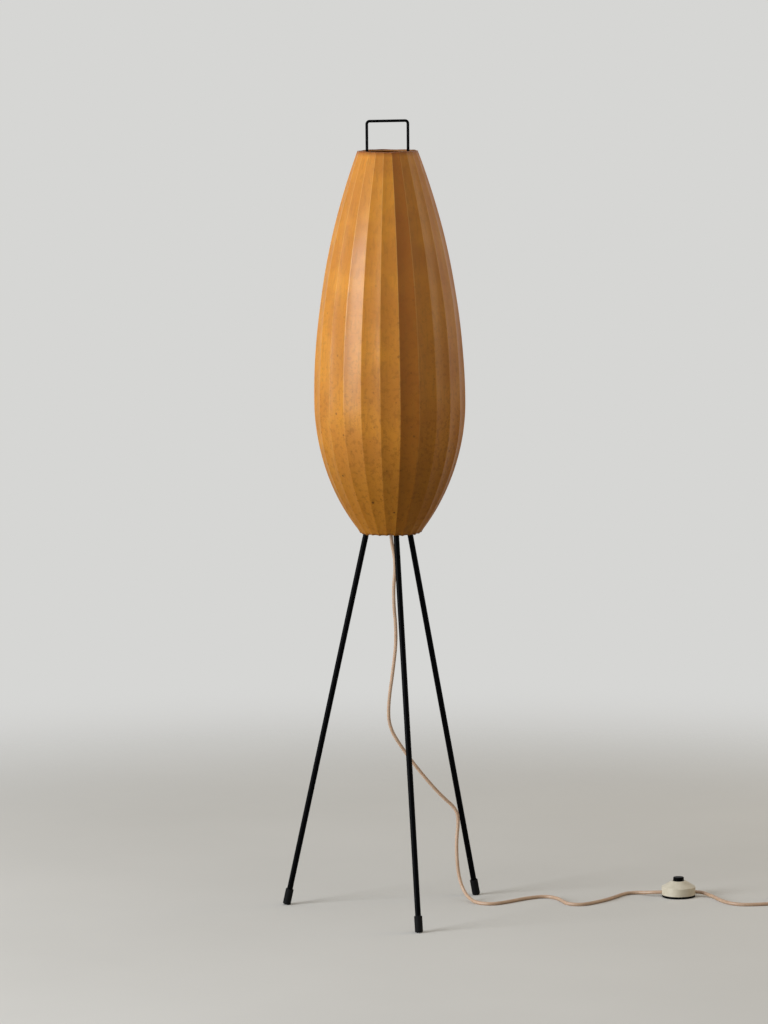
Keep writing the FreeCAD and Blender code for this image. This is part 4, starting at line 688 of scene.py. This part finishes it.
# %% Legs and foot caps
LEG_RADIUS, STUD_RADIUS = 5 * MM, 3 * MM
LEG_EDGE, STUD_FILLET, STUD_CHAMFER = 0.6 * MM, 0.3 * MM, 0.6 * MM
STUD_LENGTH, STUD_NECK = 22.6 * MM, 2 * MM
THREAD_PITCH, THREAD_DEPTH, PITCH_POINTS = 1.0 * MM, 0.6 * MM, 6
CAP_RADIUS, CAP_BORE = 7 * MM, 5.1 * MM
CAP_LENGTH, CAP_FLOOR = 28 * MM, 4 * MM
CAP_EDGES = (2 * MM, 0.8 * MM, 0.3 * MM, 0.3 * MM)
LEG_SIDES, CAP_SIDES, CAP_STEPS = 48, 64, 8


def axis_of(name):
    """Matrix whose Z axis runs up the middle of a long straight node from its lowest end, and its length. The
    axis is the direction in which the node's points, each counted once, spread most."""
    points = np.empty(len(frame["nodes"][name].data.vertices) * 3, np.float32)
    frame["nodes"][name].data.vertices.foreach_get("co", points)
    points = np.unique(points.reshape(-1, 3).astype(float).round(7), axis=0)
    middle = (points.min(0) + points.max(0)) / 2
    along = np.linalg.svd(points - points.mean(0), full_matrices=False)[2][0]
    along = along * np.sign(along[2])
    reach = (points - middle) @ along
    turn = Vector(along).to_track_quat("Z", "Y").to_matrix().to_4x4()
    return Matrix.Translation(middle + along * reach.min()) @ turn, reach.max() - reach.min()


def threaded(start, end, radius):
    """Profile points of a screw thread's crests and roots as waves of one pitch along the axis."""
    height = np.linspace(start, end, int((end - start) / THREAD_PITCH * PITCH_POINTS) + 1)
    depth = THREAD_DEPTH * (1 - np.cos(2 * np.pi * (height - start) / THREAD_PITCH)) / 2
    return np.column_stack([radius - depth, height])


for side in ("front", "right", "left"):
    place, length = axis_of(f"leg_{side}")
    shoulder = length - STUD_LENGTH
    neck = shoulder + STUD_NECK
    rod = rounded(
        [(0, 0), (LEG_RADIUS, 0), (LEG_RADIUS, shoulder), (STUD_RADIUS, shoulder), (STUD_RADIUS, neck)],
        (LEG_EDGE, LEG_EDGE, STUD_FILLET))
    stud = threaded(neck, length - STUD_CHAMFER, STUD_RADIUS)
    tip = np.array([(STUD_RADIUS - STUD_CHAMFER, length), (0, length)])
    rod = moved(lathe(np.concatenate([rod, stud, tip]), LEG_SIDES), place)
    surface(f"rod_{side}", rod, "stand", "black_lacquered_steel", [f"leg_{side}"])
    cap = rounded(
        [(0, 0), (CAP_RADIUS, 0), (CAP_RADIUS, CAP_LENGTH), (CAP_BORE, CAP_LENGTH), (CAP_BORE, CAP_FLOOR),
         (0, CAP_FLOOR)], CAP_EDGES, CAP_STEPS)
    cap = moved(lathe(cap, CAP_SIDES), place @ Matrix.Translation((0, 0, -CAP_FLOOR)))
    cap[..., 2] = np.maximum(cap[..., 2], 0)
    surface(f"rubber_cap_{side}", cap, "stand", "black_rubber", [f"foot_cap_{side}"])

# %% [markdown]
# ## Carrying handle
#
# One length of wire is bent twice to a square-cornered loop, and its two ends go down through the shade to
# the hub between the legs. A circle carried along the bent line gives the wire, with the ends closed.

# %% Carrying handle
HANDLE_BEND, BEND_STEPS = 5 * MM, 12
HANDLE_SIDES = 32

low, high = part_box("carry_handle")
wire_radius = (high.y - low.y) / 2
half_width, bar_level = high.x - wire_radius, high.z - wire_radius


def pipe(path, radius, across, sides):
    """Grid of a circle carried along a path, at right angles to it, with its ends closed. The circle's axes
    are square to the path's heading, the first one also to a direction across that the path never takes."""
    heading = unit(np.gradient(path, axis=0))
    first = unit(np.cross(heading, across))
    second = np.cross(first, heading)
    angle = np.arange(sides)[None, :, None] * 2 * np.pi / sides
    points = path[:, None] + radius * (np.cos(angle) * first[:, None] + np.sin(angle) * second[:, None])
    return np.concatenate([np.repeat(path[:1, None], sides, 1), points, np.repeat(path[-1:, None], sides, 1)])


bent = rounded(
    [(-half_width, 0, low.z), (-half_width, 0, bar_level),
     (half_width, 0, bar_level), (half_width, 0, low.z)], (HANDLE_BEND, HANDLE_BEND), BEND_STEPS)
surface("bent_handle", pipe(bent, wire_radius, (0, 1, 0), HANDLE_SIDES), "stand", "black_lacquered_steel",
        ["carry_handle"])

# %% [markdown]
# ## Switch cover
#
# The foot switch has a moulded ivory cover: an upright wall, a cone above it and a flat rim round the
# button. Its mould leaves small radii at every edge. The profile is a closed loop carried round, and the
# wall is drawn in a little where the flex goes through, so that a shadow shows round it.

# %% Switch cover
COVER_WALL, COVER_CONE_TOP = 14 * MM, 12.5 * MM
COVER_THICKNESS, BUTTON_HOLE = 2 * MM, 9.8 * MM
COVER_EDGES = np.array([0.5, 1.2, 0.9, 0.5, 0.3, 0.5, 0.5, 0.3]) * MM
COVER_SIDES = 144
ENTRY_LEVEL = 7.9 * MM
DIMPLE_RADIUS, DIMPLE_DEPTH = 4.4 * MM, 1.4 * MM

low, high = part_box("switch_cover")
cover_radius = (high.x - low.x) / 2
cover_centre = (low + high) / 2
inner_radius = cover_radius - COVER_THICKNESS
wall_top, under_rim = low.z + COVER_WALL, high.z - COVER_THICKNESS
loop = np.array([
    (cover_radius, low.z), (cover_radius, wall_top), (COVER_CONE_TOP, high.z), (BUTTON_HOLE, high.z),
    (BUTTON_HOLE, under_rim), (COVER_CONE_TOP, under_rim), (inner_radius, wall_top - COVER_THICKNESS / 2),
    (inner_radius, low.z)])
loop = rounded(np.concatenate([loop[-1:], loop, loop[:1]]), COVER_EDGES)[1:-1]
# Halfway points give the dimples more rows.
halves = np.arange(0, len(loop) - 1, 0.5)
loop = np.column_stack([np.interp(halves, np.arange(len(loop)), values) for values in loop.T])
cover = lathe(loop, COVER_SIDES)
print("cover loop of", len(loop), "points, wall", round((wall_top - low.z) / MM, 1), "mm high")

# %% Where the flex goes through
# The arc sine of the sine folds the two opposite places into one, so both get the same dimple.
through = TAIL_ROUTE[0] - DROP_ROUTE[-1]
entry_heading = math.atan2(through[1], through[0])
from_axis = np.hypot(cover[..., 0], cover[..., 1])
from_heading = np.arctan2(cover[..., 1], cover[..., 0]) - entry_heading
from_entry = np.hypot(cover_radius * np.arcsin(np.sin(from_heading)), cover[..., 2] - ENTRY_LEVEL)
dimple = DIMPLE_DEPTH * np.sqrt(np.clip(1 - from_entry / DIMPLE_RADIUS, 0, 1))
cover[..., :2] *= (1 - np.where(from_axis > inner_radius, dimple / from_axis, 0))[..., None]
cover[..., :2] += cover_centre[:2]
surface("moulded_cover", cover, "stand", "ivory_plastic", ["switch_cover"], closed_rows=True)

# %% [markdown]
# ## Return spring
#
# Under the button a coil of steel wire pushes it up again. A circle carried along a helix gives the wire.

# %% Return spring
SPRING_WIRE_RADIUS = 0.5 * MM
SPRING_TURNS, TURN_POINTS, SPRING_SIDES = 5, 32, 16

low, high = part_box("switch_spring")
spring_radius = (high.x - low.x) / 2 - SPRING_WIRE_RADIUS
spring_rise = high.z - low.z - 2 * SPRING_WIRE_RADIUS
wound = np.linspace(0, 1, SPRING_TURNS * TURN_POINTS + 1)
turned = entry_heading + 2 * np.pi * SPRING_TURNS * wound
helix = np.stack([
    cover_centre.x + spring_radius * np.cos(turned),
    cover_centre.y + spring_radius * np.sin(turned),
    low.z + SPRING_WIRE_RADIUS + spring_rise * wound], -1)
spring = surface("return_spring", pipe(helix, SPRING_WIRE_RADIUS, (0, 0, 1), SPRING_SIDES), "stand",
                 "zinc_plated_steel", ["switch_spring"])
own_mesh(spring)

# %% [markdown]
# ## Plug
#
# The plug's body is two moulded halves held by one screw, with a fine groove where they meet. Its outline has
# the wide radii that a hand needs. Each half is that outline drawn in at its edges and carried up to the
# face, where the upper one is let in round the screw's head.

# %% Outline of the plug
PLUG_CORNERS = np.array([(0, -6), (14, -16), (36, -17.5), (36, 17.5), (14, 16), (0, 6)]) * MM
PLUG_RADII = np.array([2, 7, 4, 4, 7, 2]) * MM
PLUG_STEPS = 8

plug_outline = np.concatenate([PLUG_CORNERS[-1:], PLUG_CORNERS, PLUG_CORNERS[:1]])
plug_outline = rounded(plug_outline, PLUG_RADII, PLUG_STEPS)[1:-1]
print("plug outline", (np.ptp(plug_outline, axis=0) / MM).round(1), "mm")

# %% Plug
PLUG_ORIGIN = np.array([784.44, -14.68, 0]) * MM
PLUG_HEADING = math.radians(78)
PLUG_LEVEL = 7 * MM
PLUG_EDGE, PLUG_GROOVE = 1.6 * MM, 0.35 * MM
SCREW_AT, SCREW_HOLE = np.array([22, 0]) * MM, 3.0 * MM
# Shares of the way from the edge of the face to the hole, and depths in the hole as shares of its radius.
FACE_SHARES, BORE_SHARES = (0.03, 0.9, 0.97), (0.1, 0.5)


def plug_half(hole, upper):
    """Grid of half a plug. Each row is the outline drawn in along its normals by an inset, at a height from
    the parting level, and moved by a share towards a circle of the hole's radius round the screw."""
    bend = np.linspace(0, np.pi / 2, PLUG_STEPS)
    groove = [(PLUG_GROOVE, 0, 1), (PLUG_GROOVE, 0, 0), (0, PLUG_GROOVE, 0), (0, PLUG_GROOVE * 1.5, 0)]
    edge = np.column_stack([
        PLUG_EDGE * (1 - np.cos(bend)), PLUG_LEVEL - PLUG_EDGE * (1 - np.sin(bend)), 0 * bend])
    face = [(PLUG_EDGE, PLUG_LEVEL, share) for share in FACE_SHARES]
    bore = [(PLUG_EDGE, PLUG_LEVEL - share * hole, 1) for share in BORE_SHARES]
    inset, height, share = np.concatenate([groove, edge, face, bore]).T[..., None, None]
    along = unit(np.roll(plug_outline, -1, 0) - np.roll(plug_outline, 1, 0))
    drawn = plug_outline + inset * np.stack([-along[:, 1], along[:, 0]], -1)
    circle = SCREW_AT + hole * unit(plug_outline - SCREW_AT)
    flat = drawn + share * (circle - drawn)
    level = PLUG_LEVEL + (height if upper else -height)
    points = np.concatenate([flat, np.broadcast_to(level, (*flat.shape[:2], 1))], -1)
    return moved(points, Matrix.Translation(PLUG_ORIGIN) @ Matrix.Rotation(PLUG_HEADING, 4, "Z"))


surface("plug_shell_upper", plug_half(SCREW_HOLE, True), "stand", "ivory_plastic", ["plug_upper_half"],
        closed_rows=True)
surface("plug_shell_lower", plug_half(0.0, False), "stand", "ivory_plastic", ["plug_lower_half"])

# %% [markdown]
# ## Flex ends
#
# The flex is in two lengths. The first starts in the cord grip under the hub and ends in the switch's clamp.
# The second starts in the switch's other clamp and ends in the plug, with the tie round its coil.

# %% Flex ends
print("in the switch the two lengths are", round(np.linalg.norm(through) / MM, 1), "mm apart")

# %% [markdown]
# ## Studio
#
# The lamp stands on a plain pale floor in soft light. A large cool light on the left gives the bright left
# panels and the long highlights down them, a weak warm one fills the right, a wide one hangs above, and the
# sky is an even grey. The camera, reflections and glass see a pale ground in its place.

# %% Floor
# Matt and pale, with hardly any drift. It fades out with the distance from the lamp. Lengths are in metres.
FLOOR_REACH, FLOOR_GRAIN = 2.8, 0.9
FADE_START, FADE_END = 0.85, 2.7

pale_floor = mottled("pale_floor", ("#D2D0CB", "#D8D6D1"), FLOOR_GRAIN, (0.8, 0.9), Specular_IOR_Level=0.0)
floor_tree = pale_floor.node_tree
floor_spot = node(floor_tree, "ShaderNodeTexCoord", {})
away = node(floor_tree, "ShaderNodeVectorMath", {0: floor_spot.outputs["Object"]}, operation="LENGTH")
fade = node(floor_tree, "ShaderNodeMapRange", {
    "Value": away.outputs["Value"], "From Min": FADE_START, "From Max": FADE_END,
    "To Min": 1.0, "To Max": 0.0}, interpolation_type="SMOOTHERSTEP")
floor_tree.links.new(fade.outputs[0], floor_tree.nodes["Principled BSDF"].inputs["Alpha"])
floor_corners = [(x * FLOOR_REACH, y * FLOOR_REACH, 0) for x, y in ((-1, -1), (1, -1), (1, 1), (-1, 1))]
floor_mesh = bpy.data.meshes.new("floor")
floor_mesh.from_pydata(floor_corners, [], [(0, 1, 2, 3)])
floor_mesh.materials.append(pale_floor)
floor = bpy.data.objects.new("floor", floor_mesh)
scene.collection.objects.link(floor)
print("floor", 2 * FLOOR_REACH, "m wide, gone at", FADE_END, "m from the lamp")

# %% Lights
LIGHTS = {
    # name: place to the right of the lamp, towards the camera and above the floor, level of the point
    # aimed at, width and height in metres, watts, colour
    "left_window": ((-4.4, 2.4, 1.5), 0.9, 2.5, 2.7, 322, "#F4F9FF"),
    "right_fill": ((4.5, -0.9, 2.0), 0.8, 2.4, 3.0, 44, "#FFE7BB"),
    "top_soft": ((0.0, 0.0, 6.0), 0.0, 6.0, 6.0, 135, "#FFFFFF"),
}
for name, ((right, near, up), aim, width, height, watts, colour) in LIGHTS.items():
    light = bpy.data.lights.new(name, "AREA")
    light.shape = "RECTANGLE"
    light.size, light.size_y, light.energy = width, height, watts
    light.color = linear(colour)[:3]
    lamp = bpy.data.objects.new(name, light)
    scene.collection.objects.link(lamp)
    lamp.location = camera_right * right + towards_camera * near + upwards * up
    lamp.rotation_euler = (lamp.location - upwards * aim).to_track_quat("Z", "Y").to_euler()
    print(name, watts, "W at", [round(value, 2) for value in lamp.location])

# %% Sky and ground
SKY_COLOUR, GROUND_COLOUR = "#74726E", "#D6D6D4"

world = bpy.data.worlds.new("studio")
scene.world = world
world.use_nodes = True
sky = world.node_tree
ray = node(sky, "ShaderNodeLightPath", {}).outputs
direct = node(sky, "ShaderNodeMath", {
    0: ray["Is Camera Ray"], 1: ray["Is Transmission Ray"]}, operation="MAXIMUM")
looked_at = node(sky, "ShaderNodeMath", {0: direct.outputs[0], 1: ray["Is Glossy Ray"]}, operation="MAXIMUM")
seen = node(sky, "ShaderNodeMix", {
    0: looked_at.outputs[0], 6: linear(SKY_COLOUR), 7: linear(GROUND_COLOUR)}, data_type="RGBA")
sky.links.new(seen.outputs[2], sky.nodes["Background"].inputs["Color"])
sky.nodes["Background"].inputs["Strength"].default_value = 1.0
scene.view_settings.view_transform = "Standard"
print("sky", SKY_COLOUR, "seen as", GROUND_COLOUR)
